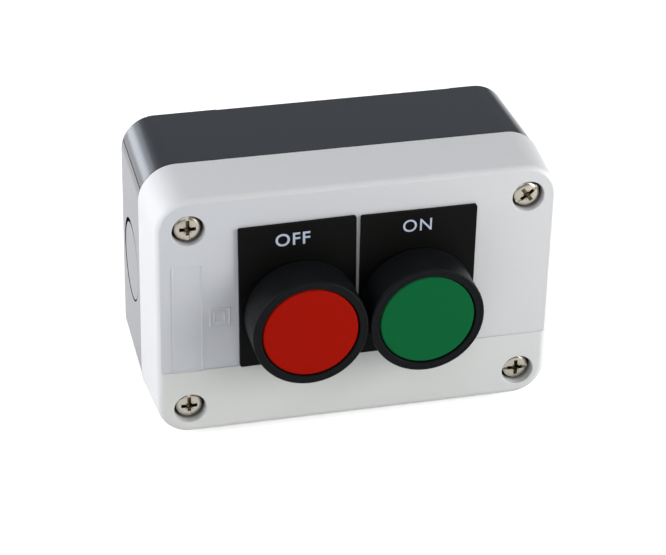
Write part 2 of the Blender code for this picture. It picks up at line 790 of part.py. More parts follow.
def legend_plate(bench, side):
    """The thin legend plate under a head, its lower edge against the step of the cover's panel."""
    x = BUTTON_X[side]
    half = (BUTTON_PITCH - PLATE_GAP) / 2
    below = STEP_Y + PLATE_STEP_GAP
    outline = []
    corners = (
        (half, PLATE_ABOVE, 0.0),
        (-half, PLATE_ABOVE, 90.0),
        (-half, below, 180.0),
        (half, below, 270.0),
    )
    for cx, cy, start in corners:
        for step in range(PLATE_CORNER_STEPS + 1):
            angle = math.radians(start + 90.0 * step / PLATE_CORNER_STEPS)
            px = cx - math.copysign(PLATE_CORNER, cx) + PLATE_CORNER * math.cos(angle)
            py = cy - math.copysign(PLATE_CORNER, cy) + PLATE_CORNER * math.sin(angle)
            outline.append((px, py))
    name = f"legend_plate_{side}"
    data = mesh_of(name, extrusion(outline, PLATE_LOW, PLATE_HIGH))
    at = (x + PLATE_SHIFT[side], 0.0, 0.0)
    item = bench.place(name, data, "plate_black", at, PLATE_TURN[side])
    hole = cylinder(
        x, 0.0, PLATE_LOW - FUSE, PLATE_HIGH + FUSE, MOUNTING_HOLE_RADIUS + PLATE_HOLE_PLAY,
        steps=HEAD_STEPS,
    )
    combine(bench, item, "DIFFERENCE", "hole", hole)
    return item


def button_head(bench, side):
    """The black head: bezel ring, flange with a gasket groove, neck and spring shelf, turned as one."""
    groove_out = HEAD_RADIUS - HEAD_GASKET_INSET + CLEARANCE
    groove_in = groove_out - HEAD_GASKET_WIDTH - 2 * CLEARANCE
    groove_top = HEAD_LOW + HEAD_GASKET_HEIGHT + CLEARANCE
    floor = HEAD_TOP - HEAD_BORE_DEPTH
    profile = [
        (HEAD_RADIUS - HEAD_EDGE, HEAD_TOP),
        (HEAD_RADIUS - HEAD_EDGE * 0.3, HEAD_TOP - HEAD_EDGE * 0.3),
        (HEAD_RADIUS, HEAD_TOP - HEAD_EDGE),
        (HEAD_RADIUS, HEAD_LOW),
        (groove_out, HEAD_LOW),
        (groove_out, groove_top),
        (groove_in, groove_top),
        (groove_in, HEAD_LOW),
        (NECK_RADIUS, HEAD_LOW),
        (NECK_RADIUS, NECK_END + NECK_CHAMFER),
        (NECK_RADIUS - NECK_CHAMFER, NECK_END),
        (STEM_BORE_RADIUS, NECK_END),
        (STEM_BORE_RADIUS, SHELF_TOP),
        (SPRING_CHAMBER_RADIUS, SHELF_TOP),
        (SPRING_CHAMBER_RADIUS, floor),
        (HEAD_BORE_RADIUS, floor),
        (HEAD_BORE_RADIUS, HEAD_TOP - HEAD_EDGE / 2),
        (HEAD_BORE_RADIUS + HEAD_EDGE / 2, HEAD_TOP),
    ]
    return turned(bench, f"button_head_{side}", profile, "head_black", BUTTON_X[side])


def head_gasket(bench, side):
    """The rubber ring in the groove under the head, on the legend plate."""
    outer = HEAD_RADIUS - HEAD_GASKET_INSET
    inner = outer - HEAD_GASKET_WIDTH
    low = HEAD_LOW
    high = low + HEAD_GASKET_HEIGHT
    profile = [(outer, high), (outer, low), (inner, low), (inner, high)]
    return turned(
        bench, f"head_gasket_{side}", profile, "rubber_black", BUTTON_X[side], steps=GROOVE_STEPS
    )


def lock_nut(bench, side):
    """The notched ring nut that clamps the head from inside the cover."""
    x = BUTTON_X[side]
    high = COVER_CEILING - CLEARANCE
    low = high - NUT_HEIGHT
    bore = NECK_RADIUS + CLEARANCE
    profile = [
        (NUT_RADIUS, high),
        (NUT_RADIUS, low + NUT_EDGE),
        (NUT_RADIUS - NUT_EDGE, low),
        (bore, low),
        (bore, high),
    ]
    item = turned(bench, f"lock_nut_{side}", profile, "stem_grey", x, steps=GROOVE_STEPS)
    half = NUT_NOTCH_WIDTH / 2
    inner = NUT_RADIUS - NUT_NOTCH_DEPTH
    outer = NUT_RADIUS + FUSE
    outline = [(inner, -half), (outer, -half), (outer, half), (inner, half)]
    centre = Matrix.Translation((x, 0.0, 0.0))
    notches = []
    for index in range(NUT_NOTCHES):
        turn = Matrix.Rotation(2 * math.pi * index / NUT_NOTCHES, 4, "Z")
        notches.append(extrusion(outline, low - FUSE, high + FUSE, centre @ turn))
    combine(bench, item, "DIFFERENCE", "notches", *notches)
    return item


def button_cap(bench, side, finish):
    """The coloured cap, a shallow cup whose skirt runs in the head's bore."""
    skirt_end = CAP_TOP - CAP_SKIRT
    inner = CAP_RADIUS - CAP_SKIRT_WALL
    ceiling = CAP_TOP - CAP_THICKNESS
    profile = [
        (0.0, CAP_TOP),
        (CAP_RADIUS - CAP_EDGE, CAP_TOP),
        (CAP_RADIUS - CAP_EDGE * 0.3, CAP_TOP - CAP_EDGE * 0.3),
        (CAP_RADIUS, CAP_TOP - CAP_EDGE),
        (CAP_RADIUS, skirt_end),
        (inner, skirt_end),
        (inner, ceiling),
        (0.0, ceiling),
    ]
    return turned(bench, f"button_cap_{side}", profile, finish, BUTTON_X[side])


def button_stem(bench, side):
    """The stem under the cap: a spring flange, and a slit end with a snap collar under the shelf."""
    flange_radius = CAP_RADIUS - CAP_SKIRT_WALL - CLEARANCE
    collar = STEM_RADIUS + SNAP_REACH
    collar_top = NECK_END - CLEARANCE
    collar_low = collar_top - SNAP_LAND
    profile = [
        (0.0, FLANGE_TOP),
        (flange_radius, FLANGE_TOP),
        (flange_radius, FLANGE_LOW),
        (STEM_RADIUS, FLANGE_LOW),
        (STEM_RADIUS, collar_top),
        (collar, collar_top),
        (collar, collar_low),
        (STEM_RADIUS, collar_low - SNAP_TAPER),
        (STEM_RADIUS, STEM_END + STEM_TIP_CHAMFER),
        (STEM_RADIUS - STEM_TIP_CHAMFER, STEM_END),
        (0.0, STEM_END),
    ]
    x = BUTTON_X[side]
    item = turned(bench, f"button_stem_{side}", profile, "stem_grey", x, steps=GROOVE_STEPS)
    half = SNAP_SLOT / 2
    reach = collar + FUSE
    high = STEM_END + SNAP_SLOT_LENGTH
    low = STEM_END - FUSE
    slit_x = block((x - reach, -half, low), (x + reach, half, high))
    slit_y = block((x - half, -reach, low), (x + half, reach, high))
    combine(bench, item, "DIFFERENCE", "slit_x", slit_x)
    combine(bench, item, "DIFFERENCE", "slit_y", slit_y)
    return item


def return_spring(bench, side):
    """The coil round the stem, from the head's shelf to the stem's flange."""
    return coil(
        bench, f"return_spring_{side}", BUTTON_X[side], SHELF_TOP + CLEARANCE, FLANGE_LOW - CLEARANCE,
        RETURN_SPRING_RADIUS, RETURN_WIRE_RADIUS, RETURN_TURNS, "spring_steel",
    )


def contact_foot(bench, side):
    """The foot that clips a contact block between the base's rails and hooks, with the spring's peg."""
    x = BUTTON_X[side]
    half_x = BLOCK_WIDTH / 2
    half_y = BLOCK_LENGTH / 2 + FOOT_OVERHANG
    name = f"contact_foot_{side}"
    plate = block((x - half_x, -half_y, FOOT_LOW), (x + half_x, half_y, FOOT_HIGH), BLOCK_EDGE)
    item = bench.place(name, mesh_of(name, plate), "block_grey")
    peg = cylinder(x, 0.0, FOOT_HIGH - FUSE, FOOT_HIGH + SPRING_PEG_HEIGHT, SPRING_PEG_RADIUS)
    combine(bench, item, "UNION", "spring_peg", peg)
    return item


def contact_housing(bench, side):
    """The moulded block: a chamber open below for the carriage, and a terminal pocket at each end."""
    x = BUTTON_X[side]
    half_x, half_y = BLOCK_WIDTH / 2, BLOCK_LENGTH / 2
    name = f"contact_housing_{side}"
    body = block((x - half_x, -half_y, BLOCK_LOW), (x + half_x, half_y, BLOCK_HIGH), BLOCK_EDGE)
    item = bench.place(name, mesh_of(name, body), "block_grey")
    chamber_x = half_x - BLOCK_SIDE_WALL
    chamber_y = CHAMBER_LENGTH / 2
    ceiling = BLOCK_HIGH - BLOCK_TOP_WALL
    chamber = block((x - chamber_x, -chamber_y, BLOCK_LOW - FUSE), (x + chamber_x, chamber_y, ceiling))
    combine(bench, item, "DIFFERENCE", "chamber", chamber)
    slot_x = PLUNGER_WIDTH / 2 + CLEARANCE
    slot_y = PLUNGER_STEM_LENGTH / 2 + CLEARANCE
    slot = block((x - slot_x, -slot_y, ceiling - FUSE), (x + slot_x, slot_y, BLOCK_HIGH + FUSE))
    combine(bench, item, "DIFFERENCE", "plunger_slot", slot)
    pocket_y = half_y - POCKET_LENGTH
    pocket_x = POCKET_WIDTH / 2
    strip_x = STRIP_WIDTH / 2 + CLEARANCE
    strip_high = STRIP_LOW + STRIP_THICKNESS + CLEARANCE
    well_radius = TERMINAL_SHANK_RADIUS + CLEARANCE
    pockets, slits, wells = [], [], []
    for end in (1.0, -1.0):
        near, far = sorted((end * pocket_y, end * (half_y + FUSE)))
        pockets.append(block((x - pocket_x, near, POCKET_LOW), (x + pocket_x, far, BLOCK_HIGH + FUSE)))
        near, far = sorted((end * (chamber_y - FUSE), end * (pocket_y + FUSE)))
        slits.append(block((x - strip_x, near, POCKET_LOW), (x + strip_x, far, strip_high)))
        well_low = TERMINAL_END - CLEARANCE
        wells.append(cylinder(x, end * TERMINAL_Y, well_low, POCKET_LOW + FUSE, well_radius))
    combine(bench, item, "DIFFERENCE", "terminal_pockets", *pockets)
    combine(bench, item, "DIFFERENCE", "strip_slits", *slits)
    combine(bench, item, "DIFFERENCE", "screw_wells", *wells)
    return item


def contact_plunger(bench, side, finish):
    """The plunger that the stem pushes, with shoulders below the block's top and a bridge window."""
    x = BUTTON_X[side]
    body = PLUNGER_BODY_LENGTH / 2
    stem = PLUNGER_STEM_LENGTH / 2
    outline = [
        (-body, PLUNGER_END),
        (body, PLUNGER_END),
        (body, PLUNGER_SHOULDER),
        (stem, PLUNGER_SHOULDER),
        (stem, PLUNGER_TOP),
        (-stem, PLUNGER_TOP),
        (-stem, PLUNGER_SHOULDER),
        (-body, PLUNGER_SHOULDER),
    ]
    name = f"contact_plunger_{side}"
    item = bench.place(name, mesh_of(name, across(outline, x, PLUNGER_WIDTH)), finish)
    window_x = BRIDGE_WIDTH / 2 + CLEARANCE
    window = block(
        (x - window_x, -body - FUSE, BRIDGE_LOW - CLEARANCE),
        (x + window_x, body + FUSE, BRIDGE_HIGH + CLEARANCE),
    )
    combine(bench, item, "DIFFERENCE", "bridge_window", window)
    peg = cylinder(x, 0.0, PLUNGER_END - SPRING_PEG_HEIGHT, PLUNGER_END + FUSE, SPRING_PEG_RADIUS)
    combine(bench, item, "UNION", "spring_peg", peg)
    return item


def contact_bridge(bench, side):
    """The bridge across the plunger: its rivets face up where it opens and down where it closes."""
    x = BUTTON_X[side]
    half_x, half_y = BRIDGE_WIDTH / 2, BRIDGE_LENGTH / 2
    name = f"contact_bridge_{side}"
    bar = block((x - half_x, -half_y, BRIDGE_LOW), (x + half_x, half_y, BRIDGE_HIGH))
    item = bench.place(name, mesh_of(name, bar), "contact_brass")
    middle = (BRIDGE_LOW + BRIDGE_HIGH) / 2
    if side == "off":
        low, high = middle, BRIDGE_HIGH + RIVET_HEIGHT
    else:
        low, high = BRIDGE_LOW - RIVET_HEIGHT, middle
    rivets = [cylinder(x, end * RIVET_Y, low, high, RIVET_RADIUS) for end in (1.0, -1.0)]
    combine(bench, item, "UNION", "rivets", *rivets)
    return item


def contact_spring(bench, side):
    """The coil between the foot and the plunger, which returns the carriage."""
    return coil(
        bench, f"contact_spring_{side}", BUTTON_X[side], FOOT_HIGH + CLEARANCE, PLUNGER_END - CLEARANCE,
        CONTACT_SPRING_RADIUS, CONTACT_WIRE_RADIUS, CONTACT_TURNS, "spring_steel",
    )


def fixed_contact(bench, side, end_name, end):
    """A bent strip from the terminal to a rivet over the opening bridge or under the closing one."""
    x = BUTTON_X[side]
    outer = BLOCK_LENGTH / 2 - STRIP_END_INSET
    thick = STRIP_THICKNESS
    if side == "off":
        rivet_face = BRIDGE_HIGH + RIVET_HEIGHT + CLEARANCE
        tip_low = rivet_face + RIVET_HEIGHT
        outline = [
            (outer, STRIP_LOW), (outer, STRIP_LOW + thick),
            (STRIP_LEG, STRIP_LOW + thick), (STRIP_LEG, tip_low + thick),
            (STRIP_TIP, tip_low + thick), (STRIP_TIP, tip_low),
            (STRIP_LEG - thick, tip_low), (STRIP_LEG - thick, STRIP_LOW),
        ]
        rivet_span = (rivet_face, tip_low + thick / 2)
    else:
        rivet_face = BRIDGE_LOW - RIVET_HEIGHT - BUTTON_TRAVEL - CLEARANCE
        tip_high = rivet_face - RIVET_HEIGHT
        outline = [
            (outer, STRIP_LOW), (outer, STRIP_LOW + thick),
            (STRIP_LEG - thick, STRIP_LOW + thick), (STRIP_LEG - thick, tip_high),
            (STRIP_TIP, tip_high), (STRIP_TIP, tip_high - thick),
            (STRIP_LEG, tip_high - thick), (STRIP_LEG, STRIP_LOW),
        ]
        rivet_span = (tip_high - thick / 2, rivet_face)
    name = f"fixed_contact_{side}_{end_name}"
    strip = across([(end * py, pz) for py, pz in outline], x, STRIP_WIDTH)
    item = bench.place(name, mesh_of(name, strip), "contact_brass")
    rivet = cylinder(x, end * RIVET_Y, *rivet_span, RIVET_RADIUS)
    combine(bench, item, "UNION", "rivet", rivet)
    hole_low, hole_high = STRIP_LOW - FUSE, STRIP_LOW + thick + FUSE
    hole = cylinder(x, end * TERMINAL_Y, hole_low, hole_high, TERMINAL_SHANK_RADIUS + CLEARANCE)
    combine(bench, item, "DIFFERENCE", "screw_hole", hole)
    return item


def terminal(bench, side, end_name, end):
    """The clamp plate and the screw of one terminal."""
    x = BUTTON_X[side]
    y = end * TERMINAL_Y
    half_x, half_y = CLAMP_WIDTH / 2, CLAMP_LENGTH / 2
    name = f"clamp_plate_{side}_{end_name}"
    high = CLAMP_LOW + CLAMP_THICKNESS
    plate = block((x - half_x, y - half_y, CLAMP_LOW), (x + half_x, y + half_y, high))
    item = bench.place(name, mesh_of(name, plate), "zinc_steel")
    hole = cylinder(x, y, CLAMP_LOW - FUSE, TERMINAL_SEAT + FUSE, TERMINAL_SHANK_RADIUS + CLEARANCE)
    combine(bench, item, "DIFFERENCE", "screw_hole", hole)
    combi_screw(
        bench, f"terminal_screw_{side}_{end_name}", x, y, TERMINAL_SEAT, TERMINAL_HEAD_RADIUS,
        TERMINAL_HEAD_HEIGHT, TERMINAL_SHANK_RADIUS, TERMINAL_END,
    )


def button(bench, side, cap_finish, contact_finish):
    """One button: the plate, head and cap outside, and the contact block it works inside."""
    legend_plate(bench, side)
    button_head(bench, side)
    head_gasket(bench, side)
    lock_nut(bench, side)
    button_cap(bench, side, cap_finish)
    button_stem(bench, side)
    return_spring(bench, side)
    contact_foot(bench, side)
    contact_housing(bench, side)
    contact_plunger(bench, side, contact_finish)
    contact_bridge(bench, side)
    contact_spring(bench, side)
    for end_name, end in (("top", 1.0), ("bottom", -1.0)):
        fixed_contact(bench, side, end_name, end)
        terminal(bench, side, end_name, end)


def main():
    clear_scene()
    bench = Bench()
    base_box(bench)
    cover(bench)
    cover_gasket(bench)
    cover_screws(bench)
    button(bench, "off", "cap_red", "contact_red")
    button(bench, "on", "cap_green", "contact_green")
    bpy.context.view_layer.update()


main()
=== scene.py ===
"""Looks of a two-button pushbutton control station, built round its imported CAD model.

Shapes are worked out on the bench, with X along the case, Y up the wall and Z out of the wall towards
the operator, as in the CAD source. The function wall_points then hangs them on the wall, so that the
buttons face -Y and +Z is up. Lengths are in metres.
"""

import itertools
import math

import bpy
import numpy as np
from bpy.props import FloatProperty, FloatVectorProperty, PointerProperty
from bpy.types import Operator, Panel, PropertyGroup
from mathutils import Matrix, Vector


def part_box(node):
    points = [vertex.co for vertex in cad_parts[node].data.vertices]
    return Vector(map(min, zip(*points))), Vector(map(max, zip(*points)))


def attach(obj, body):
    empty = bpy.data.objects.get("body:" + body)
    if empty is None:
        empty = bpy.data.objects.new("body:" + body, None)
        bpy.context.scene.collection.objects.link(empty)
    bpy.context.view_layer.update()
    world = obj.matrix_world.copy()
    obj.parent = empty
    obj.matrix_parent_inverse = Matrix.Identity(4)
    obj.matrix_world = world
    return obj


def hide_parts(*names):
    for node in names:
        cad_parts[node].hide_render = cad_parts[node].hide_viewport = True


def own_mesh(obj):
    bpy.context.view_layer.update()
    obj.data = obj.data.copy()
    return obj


bl_info = {
    "name": "Pushbutton Control Station",
    "version": (1, 0, 0),
    "blender": (4, 5, 0),
    "location": "3D View > Sidebar > Station",
    "description": "Builds the case, the buttons and the studio of a two-button control station",
    "category": "Object",
}

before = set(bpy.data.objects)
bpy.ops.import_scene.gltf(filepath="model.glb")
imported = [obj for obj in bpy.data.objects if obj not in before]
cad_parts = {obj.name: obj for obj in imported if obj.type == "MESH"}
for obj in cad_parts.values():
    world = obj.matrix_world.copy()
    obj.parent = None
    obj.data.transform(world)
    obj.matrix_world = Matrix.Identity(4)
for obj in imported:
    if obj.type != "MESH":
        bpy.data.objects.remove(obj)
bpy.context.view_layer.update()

MM = 0.001
SIDES = ("off", "on")
CORNERS = ("top_left", "top_right", "bottom_left", "bottom_right")
SQUARE = np.array([[-1.0, -1.0], [1.0, -1.0], [1.0, 1.0], [-1.0, 1.0]])
HANG = Matrix.Rotation(math.pi / 2, 4, "X")  # from the bench to the wall
ROUND_STEPS = 128
MIDDLE_STEPS = 96
SMALL_STEPS = 48
CORNER_STEPS = 16
CUT = 1.0 * MM  # how far a cutter stands past what it cuts
PLAY = 0.3 * MM  # the gap between seated pieces
FINE = 0.05 * MM  # the least corner radius
SCREW_SHIFT = np.array([0.27, -0.42]) * MM  # from the solids' screws to the seen ones
PILLAR_RADIUS = 4.55 * MM
PILOT_RADIUS = 2.05 * MM


def bench_box(node):
    """Lowest and highest corner of a CAD node in bench coordinates: (x, z, -y) of its wall-frame box."""
    low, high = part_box(node)
    return np.array([low.x, low.z, -high.y]), np.array([high.x, high.z, -low.y])


def bench_middle(node):
    """Middle of a CAD node's box on the bench."""
    low, high = bench_box(node)
    return (low + high) / 2


def bench_radius(node):
    """Half the width of a round CAD node."""
    low, high = bench_box(node)
    return (high[0] - low[0]) / 2


def button_x(side):
    """Bench X of a button's axis."""
    return bench_middle(f"button_head_{side}")[0]


def step_height():
    """Bench Y of the step between the cover's panel and its band, just under the legend plates."""
    return bench_box("legend_plate_on")[0][1] - 0.5 * MM


def length(name, millimetres, description):
    """A length property with its default in millimetres."""
    kind = {"default": millimetres * MM, "min": 0.0, "unit": "LENGTH", "precision": 5}
    return FloatProperty(name=name, description=description, **kind)


def angle(name, degrees, description):
    """An angle property with its default in degrees."""
    value = math.radians(degrees)
    return FloatProperty(name=name, description=description, default=value, unit="ROTATION")


def factor(name, value, description):
    """A plain number property from nought upwards."""
    return FloatProperty(name=name, description=description, default=value, min=0.0)


def colour(name, value, description):
    """A colour property."""
    kind = {"default": value, "subtype": "COLOR", "min": 0.0, "max": 1.0}
    return FloatVectorProperty(name=name, description=description, **kind)


class StationCase(PropertyGroup):
    """Sizes of the base and the cover that the frame's boxes don't give."""

    corner_radius: length("Corner radius", 9.6, "Radius of the case's four corners")
    wall: length("Wall", 2.8, "Thickness of the case's side walls")
    floor: length("Floor", 2.4, "Thickness of the base's floor")
    cover_face: length("Cover face", 2.6, "Thickness of the cover's face")
    cover_draft: angle("Cover draft", 3.5, "Taper of the cover's sides")
    base_draft: angle("Base draft", 1.3, "Taper of the base's sides")
    face_fillet: length("Face fillet", 2.2, "Radius between the cover's sides and its face")
    rim_step: length("Rim step", 0.2, "How far the base stands back behind the cover's rim")
    end_line: angle("End line", 19.0, "Where on the corners' bend the flat ends stop, at a fine line")
    entry_radius: length("Entry radius", 11.05, "Outer radius of the knock-out's groove")
    entry_shift: length("Entry shift", 0.7, "How far the knock-out's disc lies towards the cover")
    panel_recess: length("Panel recess", 0.35, "How far the upper panel lies below the band")
    label_recess: length("Label recess", 0.2, "Depth of the label field")
    well_radius: length("Well radius", 4.15, "Radius of the wells for the cover screws")


class StationButtons(PropertyGroup):
    """Sizes of the heads, caps, plates and lettering."""

    head_ring: length("Head ring", 2.2, "Width of the bezel ring round a cap")
    neck_radius: length("Neck radius", 10.9, "Radius of a head's neck")
    plate_corner: length("Plate corner", 0.6, "Corner radius of a legend plate")
    plate_width: length("Plate width", 30.0, "Width of a legend plate")
    plate_above: length("Plate above", 25.05, "Height of a plate's upper edge over the buttons' middle")
    plate_below: length("Plate below", 14.8, "Depth of a plate's lower edge under the buttons' middle")
    letter_height: length("Letter height", 3.5, "Height of the capitals on the plates")
    letter_weight: length("Letter weight", 0.06, "How much the letters are thickened")


class StationColours(PropertyGroup):
    """Colours of the visible materials."""

    base: colour("Base", (0.008, 0.0095, 0.0125), "Black of the base box")
    cover: colour("Cover", (0.71, 0.71, 0.71), "Light grey of the cover's sides")
    panel: colour("Panel", (0.665, 0.675, 0.70), "Cool grey of the cover's upper panel")
    band: colour("Band", (0.725, 0.73, 0.70), "Warm grey of the band under the panel")
    plate: colour("Plate", (0.005, 0.0052, 0.0046), "Black of the legend plates")
    head: colour("Head", (0.0078, 0.0085, 0.0092), "Black of the button heads")
    off_cap: colour("Off cap", (0.376, 0.0064, 0.0016), "Red of the off button")
    on_cap: colour("On cap", (0.0046, 0.128, 0.038), "Green of the on button")
    letters: colour("Letters", (0.52, 0.58, 0.72), "Print on the legend plates")
    screw: colour("Screw", (0.56, 0.52, 0.44), "Nickel of the screws")


class StationStage(PropertyGroup):
    """Camera and lights."""

    camera_place: FloatVectorProperty(
        name="Camera place", description="Where the camera stands",
        default=(-0.14309, -0.56842, 0.32391), subtype="TRANSLATION", unit="LENGTH",
    )
    camera_tilt: FloatVectorProperty(
        name="Camera tilt", description="How the camera is turned about X, Y and Z",
        default=np.radians([59.59566, -1.18251, -13.98982]).tolist(), subtype="EULER", unit="ROTATION",
    )
    camera_lens: FloatProperty(
        name="Lens", description="Focal length on a 36 mm wide frame", default=134.769, min=1.0
    )
    left_lamp: factor("Left lamp", 3.05, "Power of the softbox on the left, in watts")
    right_lamp: factor("Right lamp", 1.1, "Power of the softbox on the right, in watts")
    front_lamp: factor("Front lamp", 0.43, "Power of the fill beside the camera, in watts")
    rear_lamp: factor("Rear lamp", 0.36, "Power of the panel behind on the left, in watts")
    strip_lamp: factor("Strip lamp", 0.4, "Power of the strip at the panel's foot, in watts")
    tent_top: factor("Tent top", 0.252, "Brightness of the tent above the object")
    tent_side: factor("Tent side", 0.12, "Brightness of the tent near the floor")
    side_lamp: factor("Side lamp", 2.0, "Power of the low lamp on the right, in watts")
    floor_glow: factor("Floor glow", 0.17, "Extra light of the floor that reflections see")
    floor_white: factor("Floor white", 0.6, "Extra light of the floor that the camera sees")


# Shapes


def wall_points(points):
    """Bench points hung on the wall: (x, y, z) becomes (x, -z, y), a quarter turn about X."""
    points = np.asarray(points, float).reshape(-1, 3)
    return np.stack([points[:, 0], -points[:, 2], points[:, 1]], 1)


def sweep(rows, closed=False):
    """A surface over a grid of points, rows by columns.

    Point (i, j) is joined to (i, j + 1), (i + 1, j + 1) and (i + 1, j); the columns wrap round. The rows
    wrap too where closed is true, and otherwise the first and the last row are capped with one face.
    """
    rows = np.asarray(rows, float)
    count, across = rows.shape[:2]
    index = np.arange(count * across).reshape(count, across)
    here = index if closed else index[:-1]
    after = np.roll(index, -1, axis=0) if closed else index[1:]
    quads = np.stack([here, np.roll(here, -1, axis=1), np.roll(after, -1, axis=1), after], axis=-1)
    faces = quads.reshape(-1, 4).tolist()
    if not closed:
        faces += [index[0][::-1].tolist(), index[-1].tolist()]
    return rows.reshape(-1, 3), faces


def rounded(half_x, half_y, radius):
    """Rounded rectangle, anticlockwise: centre (+-(a - r), +-(b - r)) plus r (cos t, sin t) per corner."""
    turn = np.linspace(0.0, math.pi / 2, CORNER_STEPS + 1)
    turns = (turn[None, :] + (math.pi / 2) * np.arange(4)[:, None]).ravel()
    signs = np.repeat([[1, 1], [-1, 1], [-1, -1], [1, -1]], len(turn), axis=0)
    centres = signs * np.array([half_x - radius, half_y - radius])
    return centres + radius * np.stack([np.cos(turns), np.sin(turns)], axis=1)


def at_height(outline, z):
    """An outline's points (x, y) set at one height."""
    return np.column_stack([outline, np.full(len(outline), z)])


def drafted(half_x, half_y, radius, levels):
    """Rounded rectangles stacked along Z: at each (z, inset) the sides and the corners shrink by inset."""
    rows = []
    for z, inset in levels:
        rows.append(at_height(rounded(half_x - inset, half_y - inset, max(radius - inset, FINE)), z))
    return sweep(rows)


def lathe(profile, x=0.0, y=0.0, steps=ROUND_STEPS):
    """Profile of (r, z) turned about Z: x + r cos t, y + r sin t, z. It closes on itself if r stays > 0."""
    profile = np.asarray(profile, float)
    turn = np.linspace(0.0, 2 * math.pi, steps, endpoint=False)
    radius, height = profile[:, :1], np.broadcast_to(profile[:, 1:], (len(profile), steps))
    return np.stack([x + radius * np.cos(turn), y + radius * np.sin(turn), height], axis=-1)


def ring(profile, x):
    """A closed profile turned about Z, which gives a ring or a tube."""
    return sweep(lathe(profile, x), closed=True)


def solid_of_turn(profile, x=0.0, y=0.0, steps=ROUND_STEPS):
    """An open profile turned about Z, its first and last circle closed by a flat face."""
    return sweep(lathe(profile, x, y, steps))


def rod(x, y, low, high, radius, steps=SMALL_STEPS):
    """A cylinder along Z: two circles of the radius at its heights."""
    return solid_of_turn([(radius, low), (radius, high)], x, y, steps)


def stack(centre, half, levels, closed=False):
    """Rectangles stacked along Z about one centre: at each (z, grow) both half sizes grow by that."""
    half = np.asarray(half, float)
    return sweep([at_height(SQUARE * (half + grow) + centre, z) for z, grow in levels], closed)


def box(low, high):
    """A box between two corners, as a four-sided sweep from its lower to its upper face."""
    (x0, y0, z0), (x1, y1, z1) = low, high
    corners = np.array([[x0, y0], [x1, y0], [x1, y1], [x0, y1]])
    return sweep([at_height(corners, z) for z in (z0, z1)])


def prism(outline, low, high, along="z"):
    """An anticlockwise outline carried from low to high along Z, or along X with the outline in (y, z)."""
    points, faces = sweep([at_height(outline, level) for level in (low, high)])
    if along == "x":
        points = points[:, [2, 0, 1]]
    return points, faces


def arc(centre, radius, start, end, steps=6):
    """Points of a circular arc: centre + radius (cos t, sin t), t in degrees from start to end."""
    turn = np.radians(np.linspace(start, end, steps + 1))
    return [(centre[0] + radius * math.cos(t), centre[1] + radius * math.sin(t)) for t in turn]


def tube_along(path, radius, steps=12):
    """A round wire along a path: at each point a circle in the plane across the path's direction.

    The circle's axes are n = t x z, as a unit vector, and b = n x t, so a point is p + r (cos u n + sin u b).
    """
    tangent = np.gradient(path, axis=0)
    tangent /= np.linalg.norm(tangent, axis=1, keepdims=True)
    normal = np.cross(tangent, [0.0, 0.0, 1.0])
    normal /= np.linalg.norm(normal, axis=1, keepdims=True)
    binormal = np.cross(normal, tangent)
    turn = np.linspace(0.0, 2 * math.pi, steps, endpoint=False)[None, :, None]
    across = np.cos(turn) * normal[:, None, :] + np.sin(turn) * binormal[:, None, :]
    return sweep(path[:, None, :] + radius * across)


def together(parts):
    """Several shapes as one: points stacked and face numbers shifted."""
    points, faces, start = [], [], 0
    for part_points, part_faces in parts:
        points.append(part_points)
        faces += [[start + i for i in face] for face in part_faces]
        start += len(part_points)
    return np.concatenate(points), faces


def turned_about(part, matrix):
    """A shape moved by a 4 x 4 matrix on the bench."""
    points, faces = part
    matrix = np.array(matrix, float)
    return points @ matrix[:3, :3].T + matrix[:3, 3], faces


def new_object(name, data):
    """A new object at the origin, in the scene's own collection."""
    item = bpy.data.objects.new(name, data)
    bpy.context.scene.collection.objects.link(item)
    return item


def mesh_object(name, part):
    """A new object that holds a bench shape, hung on the wall."""
    points, faces = part
    mesh = bpy.data.meshes.new(name)
    mesh.from_pydata(wall_points(points).tolist(), [], faces)
    mesh.validate()
    return new_object(name, mesh)


def evaluated_mesh(item):
    """A new mesh of an object as its modifiers or its curve leave it."""
    bpy.context.view_layer.update()
    return bpy.data.meshes.new_from_object(item.evaluated_get(bpy.context.evaluated_depsgraph_get()))


def carve(item, *steps):
    """Cut ("cut", shape...) or join ("join", shape...) shapes in turn; shapes of one step don't touch."""
    tools = []
    for number, (action, *shapes) in enumerate(steps):
        tool = mesh_object(f"{item.name}_tool_{number}", together(shapes))
        modifier = item.modifiers.new(action, "BOOLEAN")
        modifier.operation = "DIFFERENCE" if action == "cut" else "UNION"
        modifier.solver = "EXACT"
        modifier.object = tool
        tools.append(tool)
    mesh = evaluated_mesh(item)
    item.modifiers.clear()
    item.data = mesh
    mesh.name = item.name
    for tool in tools:
        bpy.data.objects.remove(tool, do_unlink=True)


def finish_piece(item, finish, body, nodes=(), smooth=30.0):
    """Shade a piece, give it the named finish, let it ride on its CAD body and stand for CAD nodes."""
    item.data.shade_smooth()
    item.data.set_sharp_from_angle(angle=math.radians(smooth))
    weighted = item.modifiers.new("even_shading", "WEIGHTED_NORMAL")
    weighted.keep_sharp = True
    item.data.materials.clear()
    item.data.materials.append(material(finish))
    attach(item, body)
    if nodes:
        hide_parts(*nodes)


# Materials


def feed(tree, node, inputs):
    """Set a node's inputs, each from a socket, a number or a colour."""
    for name, value in inputs.items():
        socket = node.inputs[name]
        if isinstance(value, bpy.types.NodeSocket):
            tree.links.new(value, socket)
        else:
            socket.default_value = (*value, 1.0) if socket.type == "RGBA" else value


def add_node(tree, kind, inputs, **settings):
    """A new shader node with its settings and its inputs."""
    made = tree.nodes.new("ShaderNode" + kind)
    for name, value in settings.items():
        setattr(made, name, value)
    feed(tree, made, inputs)
    return made


def maths(tree, operation, *values):
    """What a math node makes of sockets or plain numbers."""
    return add_node(tree, "Math", dict(enumerate(values)), operation=operation).outputs[0]


